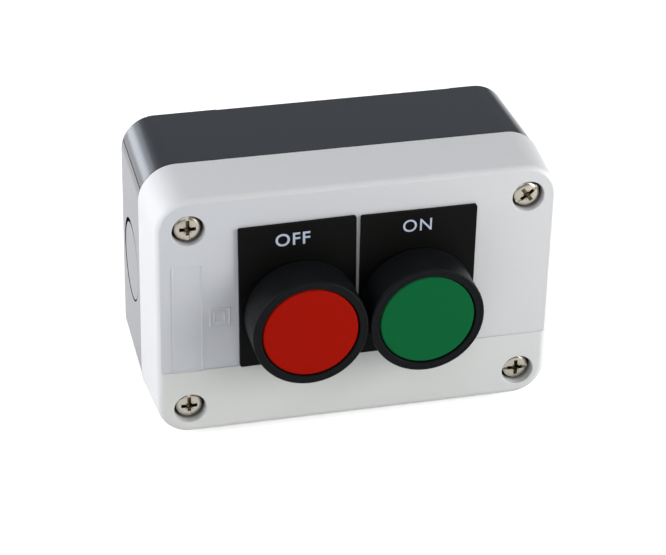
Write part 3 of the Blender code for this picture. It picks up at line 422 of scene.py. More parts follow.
def mixed(tree, mask, first, second):
    """A colour between two sockets or plain colours, by a mask."""
    inputs = {"Factor": mask, "A": first, "B": second}
    return add_node(tree, "Mix", inputs, data_type="RGBA").outputs["Result"]


def mapped(tree, value, start, end, to_start=0.0, to_end=1.0, kind="LINEAR"):
    """A value led from one range to another, and held at its ends."""
    inputs = {"Value": value, "From Min": start, "From Max": end, "To Min": to_start, "To Max": to_end}
    return add_node(tree, "MapRange", inputs, interpolation_type=kind).outputs[0]


def object_parts(tree):
    """The X, Y and Z sockets of the Object coordinates."""
    place = add_node(tree, "TexCoord", {}).outputs["Object"]
    return add_node(tree, "SeparateXYZ", {0: place}).outputs


def new_group(name, inputs, outputs):
    """A shader node group with float inputs, given with their defaults, and float outputs."""
    group = bpy.data.node_groups.new(name, "ShaderNodeTree")
    for socket, default in inputs.items():
        made = group.interface.new_socket(socket, in_out="INPUT", socket_type="NodeSocketFloat")
        made.default_value = default
    for socket in outputs:
        group.interface.new_socket(socket, in_out="OUTPUT", socket_type="NodeSocketFloat")
    return group, group.nodes.new("NodeGroupInput").outputs, group.nodes.new("NodeGroupOutput")


def grain_group():
    """Moulding grain: noise over Object coordinates gives a bump height and a small roughness shift."""
    found = bpy.data.node_groups.get("moulding_grain")
    if found:
        return found
    cloud_scale, defaults = 60.0, {"Scale": 3000.0, "Roughness": 0.4, "Variation": 0.06}
    group, given, end = new_group("moulding_grain", defaults, ["Height", "Roughness"])
    place = add_node(group, "TexCoord", {}).outputs["Object"]
    grain = add_node(group, "TexNoise", {"Vector": place, "Scale": given["Scale"], "Detail": 2.0})
    cloud = add_node(group, "TexNoise", {"Vector": place, "Scale": cloud_scale, "Detail": 3.0})
    shift = maths(group, "SUBTRACT", cloud.outputs["Fac"], 0.5)
    roughness = maths(group, "MULTIPLY_ADD", shift, given["Variation"], given["Roughness"])
    feed(group, end, {"Height": grain.outputs["Fac"], "Roughness": roughness})
    return group


def moulded(name, base, roughness, variation=0.05, depth=0.02, metallic=0.0, specular=0.5, coat=0.0):
    """A moulded plastic or a metal: grain as bump, its depth in millimetres, and a roughness that varies."""
    made = bpy.data.materials.new(name)
    made.use_nodes = True
    made.diffuse_color = (*base, 1.0)
    tree = made.node_tree
    inputs = {"Roughness": roughness, "Variation": variation}
    grain = add_node(tree, "Group", inputs, node_tree=grain_group()).outputs
    inputs = {"Strength": 1.0, "Distance": depth * MM, "Height": grain["Height"]}
    bump = add_node(tree, "Bump", inputs).outputs["Normal"]
    inputs = {"Base Color": base, "Metallic": metallic, "Roughness": grain["Roughness"], "Normal": bump}
    inputs |= {"Specular IOR Level": specular, "Coat Weight": coat, "Coat Roughness": 0.16}
    feed(tree, tree.nodes["Principled BSDF"], inputs)
    return made


def recess_group():
    """Mask of what lies deep round the four screws' axes, such as the wells' bottoms, where shade is painted.

    With a point folded into one quarter, d = |(|x - shift x| - screw x, |z - shift z| - screw z)|, the mask
    is 1 where d is under the radius and the depth y is behind the level, fading in over the fade length.
    """
    found = bpy.data.node_groups.get("recess_mask")
    if found:
        return found
    defaults = {"Radius": 4.3 * MM, "Level": 0.0, "Fade": 1.0 * MM}
    for axis, screw, shift in zip("XZ", bench_middle("cover_screw_top_right"), SCREW_SHIFT):
        defaults["Screw " + axis] = screw
        defaults["Shift " + axis] = shift
    group, given, end = new_group("recess_mask", defaults, ["Mask"])
    parts = object_parts(group)
    squares = []
    for axis in "XZ":
        folded = maths(group, "ABSOLUTE", maths(group, "SUBTRACT", parts[axis], given["Shift " + axis]))
        away = maths(group, "SUBTRACT", folded, given["Screw " + axis])
        squares.append(maths(group, "POWER", away, 2.0))
    distance = maths(group, "SQRT", maths(group, "ADD", *squares))
    inside = maths(group, "LESS_THAN", distance, given["Radius"])
    depth = maths(group, "DIVIDE", maths(group, "SUBTRACT", parts["Y"], given["Level"]), given["Fade"])
    fade = maths(group, "MINIMUM", maths(group, "MAXIMUM", depth, 0.0), 1.0)
    feed(group, end, {"Mask": maths(group, "MULTIPLY", inside, fade)})
    return group


def recess_mask(tree, inputs):
    """The mask's socket in a material, with what differs from the group's own values."""
    return add_node(tree, "Group", inputs, node_tree=recess_group()).outputs["Mask"]


def screw_colour(tree, colours):
    """Nickel with painted shade inside the cross recess."""
    # The shade colour is painted shade, faded in with depth inside the cross recess.
    radius, depth, fade, shade = 1.95 * MM, 0.45 * MM, 0.25 * MM, (0.14, 0.11, 0.07)
    level = depth - bench_box("cover_screw_top_right")[1][2]
    inside = recess_mask(tree, {"Radius": radius, "Level": level, "Fade": fade})
    return mixed(tree, inside, colours.screw, shade)


def cover_colour(tree, colours):
    """Cool panel, warm band under the step, neutral sides, and painted shade at the wells' bottoms.

    The panel's and the band's tints are partly their own tones and partly a painted cast of the light,
    strongest at the case's left end and dying away towards its right end.
    """
    panel_right, band_right, painted_well_shade = (0.67, 0.676, 0.682), (0.69, 0.70, 0.69), (0.035, 0.03, 0.022)
    left_end, right_end, slanting, facing = -0.03, 0.045, -0.75, -0.98
    well_shade_depth, well_shade_fade = 1.4 * MM, 2.3 * MM
    parts = object_parts(tree)
    above = maths(tree, "GREATER_THAN", parts["Z"], step_height())
    # Painted cast of the light: the panel's and band's tints fade along X from the left end's colours to the
    # right end's.
    along = mapped(tree, parts["X"], left_end, right_end)
    panel = mixed(tree, along, colours.panel, panel_right)
    band = mixed(tree, along, colours.band, band_right)
    normal = add_node(tree, "NewGeometry", {}).outputs["Normal"]
    front = mapped(tree, add_node(tree, "SeparateXYZ", {0: normal}).outputs["Y"], slanting, facing)
    clean = mixed(tree, front, colours.cover, mixed(tree, above, band, panel))
    # Painted shade: darker deep in the screw wells, fading in below the level.
    wells = recess_mask(tree, {"Level": well_shade_depth - bench_box("cover")[1][2], "Fade": well_shade_fade})
    return mixed(tree, wells, clean, painted_well_shade)


# Each finish: its colour or the name of its colour property, its roughness, and what else differs
FINISHES = {
    "base_plastic": ("base", 0.22, {"variation": 0.04, "depth": 0.001, "coat": 1.0}),
    "cover_plastic": ("cover", 0.42, {"depth": 0.008, "specular": 0.3}),
    "plate_plastic": ("plate", 0.45, {"variation": 0.1, "specular": 0.06}),
    "head_plastic": ("head", 0.38, {"specular": 0.06}),
    "off_cap_plastic": ("off_cap", 0.35, {"depth": 0.004, "specular": 0.03}),
    "on_cap_plastic": ("on_cap", 0.35, {"depth": 0.004, "specular": 0.03}),
    "letter_print": ("letters", 0.5, {"depth": 0.002, "specular": 0.3}),
    "screw_nickel": ("screw", 0.24, {"variation": 0.12, "depth": 0.004, "metallic": 1.0}),
    "nickel": ("screw", 0.24, {"variation": 0.12, "depth": 0.004, "metallic": 1.0}),
    "spring_wire": ((0.55, 0.56, 0.58), 0.28, {"variation": 0.1, "depth": 0.003, "metallic": 1.0}),
    "stamped_brass": ((0.72, 0.52, 0.24), 0.30, {"variation": 0.1, "depth": 0.006, "metallic": 1.0}),
    "nylon": ((0.10, 0.10, 0.11), 0.45, {"depth": 0.01}),
    "block_plastic": ((0.12, 0.13, 0.14), 0.42, {"depth": 0.01}),
    "seal_rubber": ((0.012, 0.012, 0.012), 0.8, {"variation": 0.1, "specular": 0.3}),
    "red_plunger": ((0.40, 0.02, 0.015), 0.42, {"depth": 0.006}),
    "green_plunger": ((0.02, 0.20, 0.07), 0.42, {"depth": 0.006}),
}
PAINTED = {"cover_plastic": cover_colour, "screw_nickel": screw_colour}


def material(name):
    """The scene's material of that name, made the first time it is asked for."""
    found = bpy.data.materials.get(name)
    if found:
        return found
    colours = bpy.context.scene.station_colours
    base, roughness, values = FINISHES[name]
    if isinstance(base, str):
        base = getattr(colours, base)
    made = moulded(name, base, roughness, **values)
    if name in PAINTED:
        tree = made.node_tree
        feed(tree, tree.nodes["Principled BSDF"], {"Base Color": PAINTED[name](tree, colours)})
    return made


# Case


def case_lines(case):
    """Half sizes of the case at its rim, and bench heights of its rim, face, ceiling and lip."""
    low, high = bench_box("cover")
    lines = {"half": high[:2], "rim": low[2] - PLAY, "face": high[2]}
    return lines | {"ceiling": high[2] - case.cover_face, "lip": bench_box("base_box")[1][2]}


def screw_places():
    """Bench X and Y of the four cover screws."""
    return [bench_middle(f"cover_screw_{corner}")[:2] + SCREW_SHIFT for corner in CORNERS]


def base_inset(case, lines, z, inset=0.0):
    """Distance of the base's side from the cover's rim outline at height z."""
    return case.rim_step + (lines["rim"] - z) * math.tan(case.base_draft) + inset


def cover_inset(case, lines, z, inset=0.0):
    """Distance of the cover's side from its rim outline at height z."""
    return (z - lines["rim"]) * math.tan(case.cover_draft) + inset


def straight(case, lines, side_inset, low, high, inset):
    """A drafted block between two heights, inside the base or the cover by an inset."""
    levels = [(z, side_inset(case, lines, z, inset)) for z in (low, high)]
    return drafted(*lines["half"], case.corner_radius, levels)


def ribs(case, half, low, high):
    """Ribs from each pillar to the two walls beside it: those along X, and those along Y."""
    start, thick = 2.5 * MM, 0.8 * MM
    shapes = [], []
    for place in screw_places():
        for axis in (0, 1):
            side = math.copysign(1.0, place[axis])
            corners = np.array([place - thick, place + thick])
            corners[:, axis] = sorted((place[axis] + side * start, side * (half[axis] - case.wall / 2)))
            shapes[axis].append(box((*corners[0], low), (*corners[1], high)))
    return shapes


def entry_groove(case, half_x, height, side):
    """A ring cutter on a short end: a square profile turned about the end's own normal.

    The inner circle is shifted towards the cover, so the groove is a crescent: at angle t from the rear its
    width is about w + s cos t, w being the width and s the shift.
    """
    width, depth = 0.85 * MM, 2.0 * MM
    outer = case.entry_radius
    inner = outer - width
    rows = lathe([(inner, CUT), (inner, -depth), (outer, -depth), (outer, CUT)], steps=MIDDLE_STEPS)
    rows[:2, :, 0] -= side * case.entry_shift
    turn = Matrix.Rotation(side * (math.pi / 2 + case.base_draft), 4, "Y")
    return turned_about(sweep(rows, closed=True), Matrix.Translation((side * half_x, 0.0, height)) @ turn)


def wall_slots():
    """The four round-ended slots for the wall screws, as prisms through the floor."""
    spacing, straight_half, radius, depth = np.array([33.0, 22.5]) * MM, 1.75 * MM, 2.5 * MM, 4 * MM
    turn = np.linspace(0.0, 2 * math.pi, SMALL_STEPS, endpoint=False) + math.pi / SMALL_STEPS
    shift = np.column_stack([np.sign(np.cos(turn)) * straight_half, np.zeros(len(turn))])
    circle = radius * np.column_stack([np.cos(turn), np.sin(turn)])
    quarters = itertools.product((-1.0, 1.0), repeat=2)
    return [prism(np.array(signs) * spacing + shift + circle, -CUT, depth) for signs in quarters]


def block_rails(floor):
    """Rails along both sides of each contact block's foot, and a hook over each end of it."""
    rail_half, rail_thick, rail_height = 18 * MM, 1.6 * MM, 3.6 * MM
    hook_half, hook_thick, hook_height, nose, nose_tip = 4 * MM, 1.8 * MM, 1.4 * MM, 1.0 * MM, 0.5 * MM
    shapes = []
    for side in SIDES:
        low, high = bench_box(f"contact_foot_{side}")
        middle = (low[0] + high[0]) / 2
        for near in (low[0] - PLAY - rail_thick, high[0] + PLAY):
            far = (near + rail_thick, rail_half, floor + rail_height)
            shapes.append(box((near, -rail_half, floor - CUT), far))
        reach, under = high[1] + PLAY, high[2] + PLAY
        back, top = reach + hook_thick, under + hook_height
        hook = [(reach, floor - CUT), (back, floor - CUT), (back, top), (reach - nose_tip, top)]
        hook += [(reach - nose, under + hook_height / 2), (reach - nose, under), (reach, under)]
        for flip in (1, -1):
            outline = (np.array(hook) * [flip, 1])[::flip]
            shapes.append(prism(outline, middle - hook_half, middle + hook_half, along="x"))
    return shapes


def end_lines(case, lines):
    """Fine grooves along the four corners' bends: a small square carried from the wall to the rim.

    On each level the square's middle is at the corner's centre plus r (cos t, sin t), t being the end line's
    angle, where the corner's radius r and its centre follow the base's draft.
    """
    size = 0.14 * MM
    centre = np.array(lines["half"]) - case.corner_radius
    direction = np.array([math.cos(case.end_line), math.sin(case.end_line)])
    grooves = []
    for signs in itertools.product((-1.0, 1.0), repeat=2):
        rows = []
        for z in (-CUT, lines["rim"] + CUT):
            radius = case.corner_radius - base_inset(case, lines, z)
            rows.append(at_height(size * SQUARE + signs * (centre + radius * direction), z))
        grooves.append(sweep(rows))
    return grooves


class STATION_OT_base(Operator):
    """Build the black base box with its knock-outs, lip, pillars, rails and wall slots"""

    bl_idname = "station.base"
    bl_label = "Base box"

    def execute(self, context):
        case = context.scene.station_case
        lines = case_lines(case)
        half, rim, lip = lines["half"], lines["rim"], lines["lip"]
        edge, lip_inset, rib_drop = 0.3 * MM, 1.5 * MM, 2 * MM
        relief_low = np.array([-26.6, -5.0, -1.0]) * MM
        relief_high = np.array([36.4, 5.0, 0.5]) * MM
        edges = [(0.0, edge), (edge * 0.3, edge * 0.3), (edge, 0.0), (rim - edge, 0.0), (rim, edge * 0.5)]
        levels = [(z, base_inset(case, lines, z, inset)) for z, inset in edges]
        item = mesh_object("base_shell", drafted(*half, case.corner_radius, levels))
        lip_ring = straight(case, lines, base_inset, rim - CUT, lip, lip_inset)
        cavity = straight(case, lines, base_inset, case.floor, lip + CUT, case.wall)
        places = screw_places()
        pillars = [rod(x, y, case.floor - CUT, rim, PILLAR_RADIUS) for x, y in places]
        ribs_x, ribs_y = ribs(case, half, case.floor - CUT, rim - rib_drop)
        tip = bench_box("cover_screw_top_left")[0][2] - CUT
        pilots = [rod(x, y, tip, rim + CUT, PILOT_RADIUS) for x, y in places]
        reliefs = []
        for side in (1.0, -1.0):
            edge_y = np.array([0.0, side * (half[1] - base_inset(case, lines, 0.0)), 0.0])
            reliefs.append(box(relief_low + edge_y, relief_high + edge_y))
        middle = rim / 2
        wall_x = half[0] - base_inset(case, lines, middle)
        grooves = [entry_groove(case, wall_x, middle, side) for side in (1.0, -1.0)]
        steps = [("join", lip_ring), ("cut", cavity), ("join", *pillars), ("join", *ribs_x)]
        steps += [("join", *ribs_y), ("cut", *pilots), ("join", *block_rails(case.floor))]
        steps += [("cut", *wall_slots()), ("cut", *reliefs), ("cut", *grooves)]
        carve(item, *steps, ("cut", *end_lines(case, lines)))
        finish_piece(item, "base_plastic", "case", ["base_box"])
        return {"FINISHED"}


def raised_frame(centre, half, width, low, high):
    """A raised outline of a rectangle: a band of the width at its foot and of 0.4 of it at its top."""
    top = 0.4 * width
    return stack(centre, half, ((low, -width), (low, width), (high, top), (high, -top)), closed=True)


def screw_well(case, x, y, seat, top, mouth):
    """The cutter of a screw's well: a bore that narrows a little downwards, with a rounded rim at its top."""
    radius, taper, flare = case.well_radius, 0.15 * MM, 0.25 * MM
    profile = [(radius - taper, seat), (radius, top - flare)]
    profile += arc((radius + flare, top - flare), flare, 180.0, 90.0)[1:]
    return solid_of_turn([*profile, (radius + flare, mouth)], x, y, MIDDLE_STEPS)


def panel_details(case, left, step, panel_z, mouth):
    """What stands in the upper panel: the label field and the line beside it, the frames, and the crease.

    The crease runs along the step's foot. It is 0.5 mm deeper at its left end than at its right one.
    """
    half, slope, rim = np.array([3.5, 15.0]) * MM, 0.175 * MM, 0.35 * MM
    centre = half + [left, step]
    levels = ((panel_z - case.label_recess, -slope), (panel_z, slope), (panel_z + CUT, slope))
    label = stack(centre, half, levels)
    line_far, line_near, line_depth = left - 0.75 * MM, left - 0.45 * MM, 0.08 * MM
    line_low = (line_far, step - 0.1 * MM, panel_z - line_depth)
    line = box(line_low, (line_near, step + 2 * half[1], mouth))
    foot = panel_z - 0.1 * MM
    mark_width, mark_top, rim_width, rim_top = 0.26 * MM, foot + 0.3 * MM, 0.12 * MM, foot + 0.22 * MM
    squares = (((-35.4, -0.1), 2.45), ((-35.5, 0.1), 1.3))
    frames = [
        raised_frame(np.array(place) * MM, size * MM, mark_width, foot, mark_top) for place, size in squares
    ]
    frames.append(raised_frame(centre, half + rim, rim_width, foot, rim_top))
    near, far, deep, reach = step - 0.05 * MM, step + 0.25 * MM, panel_z - 0.45 * MM, 48.4 * MM
    crease = prism([(near, deep), (near, mouth), (far, mouth), (far, deep)], -reach, reach, along="x")
    crease[0][crease[0][:, 0] > 0] += [0.0, 0.0, 0.5 * MM]
    return label, line, frames, crease


class STATION_OT_cover(Operator):
    """Build the light grey cover with its wells, recessed panel, label field and square mark"""

    bl_idname = "station.cover"
    bl_label = "Cover"

    def execute(self, context):
        case = context.scene.station_case
        lines = case_lines(case)
        half, rim, face, ceiling = lines["half"], lines["rim"], lines["face"], lines["ceiling"]
        step, low, mouth = step_height(), bench_box("cover")[0][2], face + CUT
        draft, fillet = case.cover_draft, case.face_fillet
        edge, edge_inset = 0.2 * MM, 0.15 * MM
        rebate_room, rebate_wall = 1.8 * MM, 1.2 * MM
        head_drop, boss_height, boss_radius, head_hole = 2.7 * MM, 2.5 * MM, 5.4 * MM, 11.3 * MM
        label_margin = 4.1 * MM
        centre_z = face - fillet
        centre_inset = fillet / math.cos(draft) + (centre_z - rim) * math.tan(draft)
        foot_inset = cover_inset(case, lines, low)
        levels = [(low, foot_inset + edge_inset), (low + edge, foot_inset)]
        for t in np.linspace(draft, math.pi / 2, 13):
            levels.append((centre_z + fillet * math.sin(t), centre_inset - fillet * math.cos(t)))
        item = mesh_object("cover_shell", drafted(*half, case.corner_radius, levels))
        cavity = straight(case, lines, cover_inset, rim - CUT, ceiling, case.wall)
        rebate_top = lines["lip"] + rebate_room
        rebate = straight(case, lines, cover_inset, rim - CUT, rebate_top, rebate_wall)
        places = screw_places()
        seat = bench_box("cover_screw_top_left")[1][2] - head_drop
        bosses = [rod(x, y, seat - boss_height, ceiling + CUT, boss_radius) for x, y in places]
        sleeves = [rod(x, y, low, seat - CUT, PILLAR_RADIUS) for x, y in places]
        ribs_x, ribs_y = ribs(case, half, rebate_top + CUT, ceiling + CUT)
        panel_z = face - case.panel_recess
        wells = [screw_well(case, x, y, seat, face if y < step else panel_z, mouth) for x, y in places]
        holes = [rod(x, y, rim, seat + CUT, PILOT_RADIUS) for x, y in places]
        mounting = [rod(button_x(side), 0.0, ceiling - CUT, mouth, head_hole, MIDDLE_STEPS) for side in SIDES]
        panel = box((-half[0], step, panel_z), (*half, mouth))
        left = cover_inset(case, lines, face) - half[0] + label_margin
        label, line, frames, crease = panel_details(case, left, step, panel_z, mouth)
        steps = [("cut", cavity), ("cut", rebate), ("join", *bosses), ("join", *sleeves), ("join", *ribs_x)]
        steps += [("join", *ribs_y), ("cut", panel), ("cut", *wells), ("cut", *holes), ("cut", *mounting)]
        carve(item, *steps, ("cut", label, line), ("join", *frames), ("cut", crease))
        finish_piece(item, "cover_plastic", "case", ["cover"])
        return {"FINISHED"}


# How far each screw's slot is turned, in degrees
SLOT_TURNS = {"top_left": 0.0, "bottom_left": 0.0, "top_right": -53.0, "bottom_right": -90.0}


def tapered_bar(half, low, high, taper):
    """A cutter about the origin whose foot is smaller than its mouth by the taper."""
    return stack((0.0, 0.0), half, ((low, -taper), (high, 0.0)))


class STATION_OT_screws(Operator):
    """Build the four nickel cover screws with cross recess and driver slot"""

    bl_idname = "station.screws"
    bl_label = "Cover screws"

    def execute(self, context):
        head_growth, head_height, side_height, sag = 1.04, 2.4 * MM, 0.9 * MM, 0.42 * MM
        shank, tip, point, edge = 1.75 * MM, 0.3 * MM, 0.9 * MM, 0.1 * MM
        bend, crown = 0.5 * MM, np.linspace(0.86, 0.08, 8)
        reach, arm, cross_depth, cross_taper = 2.15 * MM, 0.56 * MM, 1.9 * MM, 0.16 * MM
        slot_half, slot_depth, pit_radius, pit_depth = 0.50 * MM, 0.8 * MM, 0.9 * MM, 2.1 * MM
        tick_reach, tick_half, tick_depth, tick_taper = 1.45 * MM, 0.10 * MM, 0.45 * MM, 0.03 * MM
        for corner, (x, y) in zip(CORNERS, screw_places()):
            node = f"cover_screw_{corner}"
            low, high = bench_box(node)
            radius = head_growth * bench_radius(node)
            top, mouth = high[2], high[2] + CUT
            seat, shoulder = top - head_height, top - side_height
            profile = [(tip, low[2]), (shank * 0.5, low[2]), (shank, low[2] + point), (shank, seat)]
            profile += [(radius - edge, seat), (radius, seat + edge), (radius, shoulder)]
            profile += arc((radius - bend, shoulder), bend, 0.0, 70.0)[1:]
            profile += [(radius * part, top - sag * part**2 - 0.02 * MM) for part in crown]
            item = mesh_object(node + "_fine", solid_of_turn(profile, steps=MIDDLE_STEPS))
            bars = (reach, arm), (arm, reach)
            cutters = [tapered_bar(half, top - cross_depth, mouth, cross_taper) for half in bars]
            cutters += [rod(0.0, 0.0, top - pit_depth, mouth, pit_radius, SMALL_STEPS // 2)]
            cutters += [box((-slot_half, -radius - CUT, top - slot_depth), (slot_half, radius + CUT, mouth))]
            for degrees in (45.0, 135.0):
                tick = tapered_bar((tick_reach, tick_half), top - tick_depth, mouth, tick_taper)
                cutters.append(turned_about(tick, Matrix.Rotation(math.radians(degrees), 4, "Z")))
            carve(item, *(("cut", cutter) for cutter in cutters))
            turn = Matrix.Rotation(math.radians(SLOT_TURNS[corner]), 4, "Z")
            item.data.transform(HANG @ Matrix.Translation((x, y, 0.0)) @ turn @ HANG.inverted())
            finish_piece(item, "screw_nickel", "case", [node])
        return {"FINISHED"}


# Buttons


PLATE_SHIFTS = {"off": -0.65 * MM, "on": 0.15 * MM}
PLATE_TURNS = {"off": math.radians(0.9), "on": 0.0}


def plate_turn(side):
    """The plates sit a little askew: a shift along X, and a small turn about Z on the left."""
    shift = Matrix.Translation((PLATE_SHIFTS[side], 0.0, 0.0))
    return shift @ Matrix.Rotation(PLATE_TURNS[side], 4, "Z")


def plate_face():
    """Bench height of the legend plates' face, a little below that of the solids."""
    return bench_box("legend_plate_on")[1][2] - 0.3 * MM


class STATION_OT_plates(Operator):
    """Build the two black legend plates"""

    bl_idname = "station.plates"
    bl_label = "Legend plates"

    def execute(self, context):
        buttons = context.scene.station_buttons
        low, high = bench_box("legend_plate_on")
        above, below = buttons.plate_above, buttons.plate_below
        top, edge, sunk, hole = plate_face(), 0.12 * MM, 0.25 * MM, 11.8 * MM
        levels = [(low[2] - sunk, 0.0), (top - edge, 0.0), (top - edge * 0.3, edge * 0.3), (top, edge)]
        half = buttons.plate_width / 2, (above + below) / 2
        for side in SIDES:
            node, x = f"legend_plate_{side}", button_x(side)
            points, faces = drafted(*half, buttons.plate_corner, levels)
            place = Matrix.Translation((x, 0.0, 0.0)) @ plate_turn(side)
            plate = turned_about((points + [0.0, (above - below) / 2, 0.0], faces), place)
            item = mesh_object(node + "_fine", plate)
            carve(item, ("cut", rod(x, 0.0, low[2] - CUT, high[2] + CUT, hole, MIDDLE_STEPS)))
            finish_piece(item, "plate_plastic", "case", [node])
        return {"FINISHED"}


# Each plate's word, its middle in X and Y on the bench, and its share of the letters' thickening
WORDS = {"off": ("OFF", -16.3 * MM, 20.9 * MM, 1.0), "on": ("ON", 14.6 * MM, 21.15 * MM, 0.3)}


class STATION_OT_lettering(Operator):
    """Set plain OFF and ON on the legend plates, as thin print"""

    bl_idname = "station.lettering"
    bl_label = "Lettering"

    def execute(self, context):
        buttons = context.scene.station_buttons
        capital_share, spacing, thin = 0.73, 1.12, 0.02 * MM
        for side, (word, x, y, weight) in WORDS.items():
            text = bpy.data.curves.new(f"word_{side}", "FONT")
            text.body = word
            text.align_x = "CENTER"
            text.size = buttons.letter_height / capital_share
            text.space_character = spacing
            text.offset = buttons.letter_weight * weight
            text.extrude = thin
            holder = new_object(f"word_{side}", text)
            mesh = evaluated_mesh(holder)
            bpy.data.objects.remove(holder, do_unlink=True)
            bpy.data.curves.remove(text)
            middle = button_x(side)
            inner = Matrix.Translation((x - middle, y - buttons.letter_height / 2, plate_face() + thin))
            mesh.transform(HANG @ Matrix.Translation((middle, 0.0, 0.0)) @ plate_turn(side) @ inner)
            finish_piece(new_object(f"lettering_{side}", mesh), "letter_print", "case")
        return {"FINISHED"}


class STATION_OT_heads(Operator):
    """Build the two black button heads, turned from one profile"""

    bl_idname = "station.heads"
    bl_label = "Button heads"

    def execute(self, context):
        buttons = context.scene.station_buttons
        neck, chamfer, edge, rounding, bevel = buttons.neck_radius, 0.6 * MM, 0.2 * MM, 0.45 * MM, 0.3 * MM
        stem_hole, spring_bore, floor_depth, shelf_height = 5.4 * MM, 8.6 * MM, 9.0 * MM, 2.4 * MM
        groove_width, line_inset = 1.8 * MM, 1.05 * MM
        line = np.array([(0.10, 0.0), (0.03, -0.05), (-0.03, -0.05), (-0.10, 0.0)]) * MM
        for side in SIDES:
            node = f"button_head_{side}"
            low, high = bench_box(node)
            radius, top, end = bench_radius(node), high[2], low[2]
            seat = bench_box(f"legend_plate_{side}")[1][2] + PLAY
            bore, floor, shelf = radius - buttons.head_ring, top - floor_depth, end + shelf_height
            gasket = f"head_gasket_{side}"
            groove_out, groove_top = bench_radius(gasket) + PLAY, bench_box(gasket)[1][2] + PLAY
            groove_in = groove_out - groove_width
            profile = [(stem_hole, shelf), (stem_hole, end), (neck - chamfer, end), (neck, end + chamfer)]
            profile += [(neck, seat), (groove_in, seat), (groove_in, groove_top), (groove_out, groove_top)]
            profile += [(groove_out, seat), (radius - edge, seat), (radius, seat + edge)]
            profile += arc((radius - rounding, top - rounding), rounding, 0.0, 90.0, 8)
            profile += (line + [radius - line_inset, top]).tolist()
            profile += arc((bore + bevel, top - bevel), bevel, 90.0, 180.0)
            profile += [(bore, floor), (spring_bore, floor), (spring_bore, shelf)]
            item = mesh_object(node + "_fine", ring(profile, button_x(side)))
            finish_piece(item, "head_plastic", "case", [node], 40.0)
        return {"FINISHED"}


class STATION_OT_caps(Operator):
    """Build the red and the green cap, turned from one profile"""

    bl_idname = "station.caps"
    bl_label = "Button caps"

    def execute(self, context):
        wall, thick, rounding, centre = 1.2 * MM, 1.5 * MM, 0.45 * MM, 0.5 * MM
        for side, slot in (("off", "cap_red"), ("on", "cap_green")):
            node = f"button_cap_{side}"
            low, high = bench_box(node)
            radius, top = bench_radius(node), high[2]
            inner, ceiling, shoulder = radius - wall, top - thick, top - rounding
            profile = [(centre, ceiling), (inner, ceiling), (inner, low[2]), (radius, low[2])]
            profile += arc((radius - rounding, shoulder), rounding, 0.0, 90.0, 8)
            profile += [(radius * part, top) for part in (0.8, 0.4, 0.05)]
            item = mesh_object(node + "_fine", solid_of_turn(profile, bench_middle(node)[0]))
            finish_piece(item, f"{side}_cap_plastic", f"{side}_button", [node], 40.0)
        return {"FINISHED"}


def coil_path(x, low, high, radius, wire, turns):
    """Helix with closed ends: (x + r cos a, r sin a, z), where z rises slowly in the first and last turn."""
    steps_a_turn, closed_rise = 40, 2.7
    turn = np.linspace(0.0, turns, int(turns * steps_a_turn) + 1)
    rise = closed_rise * wire
    span = high - low - 2 * wire - 2 * rise
    height = low + wire + rise * np.minimum(turn, 1.0)
    height += span * np.clip((turn - 1.0) / (turns - 2.0), 0.0, 1.0)
    height += rise * np.maximum(turn - (turns - 1.0), 0.0)
    turn_angle = 2 * math.pi * turn
    return np.column_stack([x + radius * np.cos(turn_angle), radius * np.sin(turn_angle), height])


# Each spring's node, the joint that presses it, its turns and its wire's radius
SPRINGS = (
    ("return_spring", "button_press", 5.0, 0.45 * MM),
    ("contact_spring", "contact_slide", 6.0, 0.30 * MM),
)


class STATION_OT_springs(Operator):
    """Build the return springs and the contact springs as round wire"""

    bl_idname = "station.springs"
    bl_label = "Springs"

    def execute(self, context):
        for side, (kind, joint, turns, wire) in itertools.product(SIDES, SPRINGS):
            node = f"{kind}_{side}"
            low, high = bench_box(node)
            x = button_x(side)
            path = coil_path(x, low[2], high[2], high[0] - x - wire, wire, turns)
            item = mesh_object(node + "_fine", tube_along(path, wire))
            finish_piece(item, "spring_wire", "case", [node], 60.0)
            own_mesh(item)
        return {"FINISHED"}


KEPT_NODES = {
    "cover_gasket": "seal_rubber",
    "head_gasket": "seal_rubber",
    "lock_nut": "nylon",
    "button_stem": "nylon",
    "contact_foot": "block_plastic",
    "contact_housing": "block_plastic",
    "contact_plunger_off": "red_plunger",
    "contact_plunger_on": "green_plunger",
    "contact_bridge": "stamped_brass",
    "fixed_contact": "stamped_brass",
    "clamp_plate": "nickel",
    "terminal_screw": "nickel",
}


class STATION_OT_inner_parts(Operator):
    """Give the CAD pieces that stay as they are their materials"""

    bl_idname = "station.inner_parts"
    bl_label = "Inner parts"

    def execute(self, context):
        for name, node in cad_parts.items():
            if node.hide_render:
                continue
            finish = next(KEPT_NODES[key] for key in KEPT_NODES if name.startswith(key))
            node.data.materials.clear()
            node.data.materials.append(material(finish))
        return {"FINISHED"}


# Stage


def lamp(name, place, aim, width, height, power, tint=(1.0, 1.0, 1.0)):
    """A softbox at a place, turned towards the point that it lights and not seen by the camera."""
    data = bpy.data.lights.new(name, "AREA")
    data.shape = "RECTANGLE"
    data.size = width
    data.size_y = height
    data.energy = power
    data.color = tint
    item = new_object(name, data)
    item.location = place
    direction = Vector(aim) - Vector(place)
    item.rotation_euler = direction.to_track_quat("-Z", "Y").to_euler()
    item.visible_camera = False


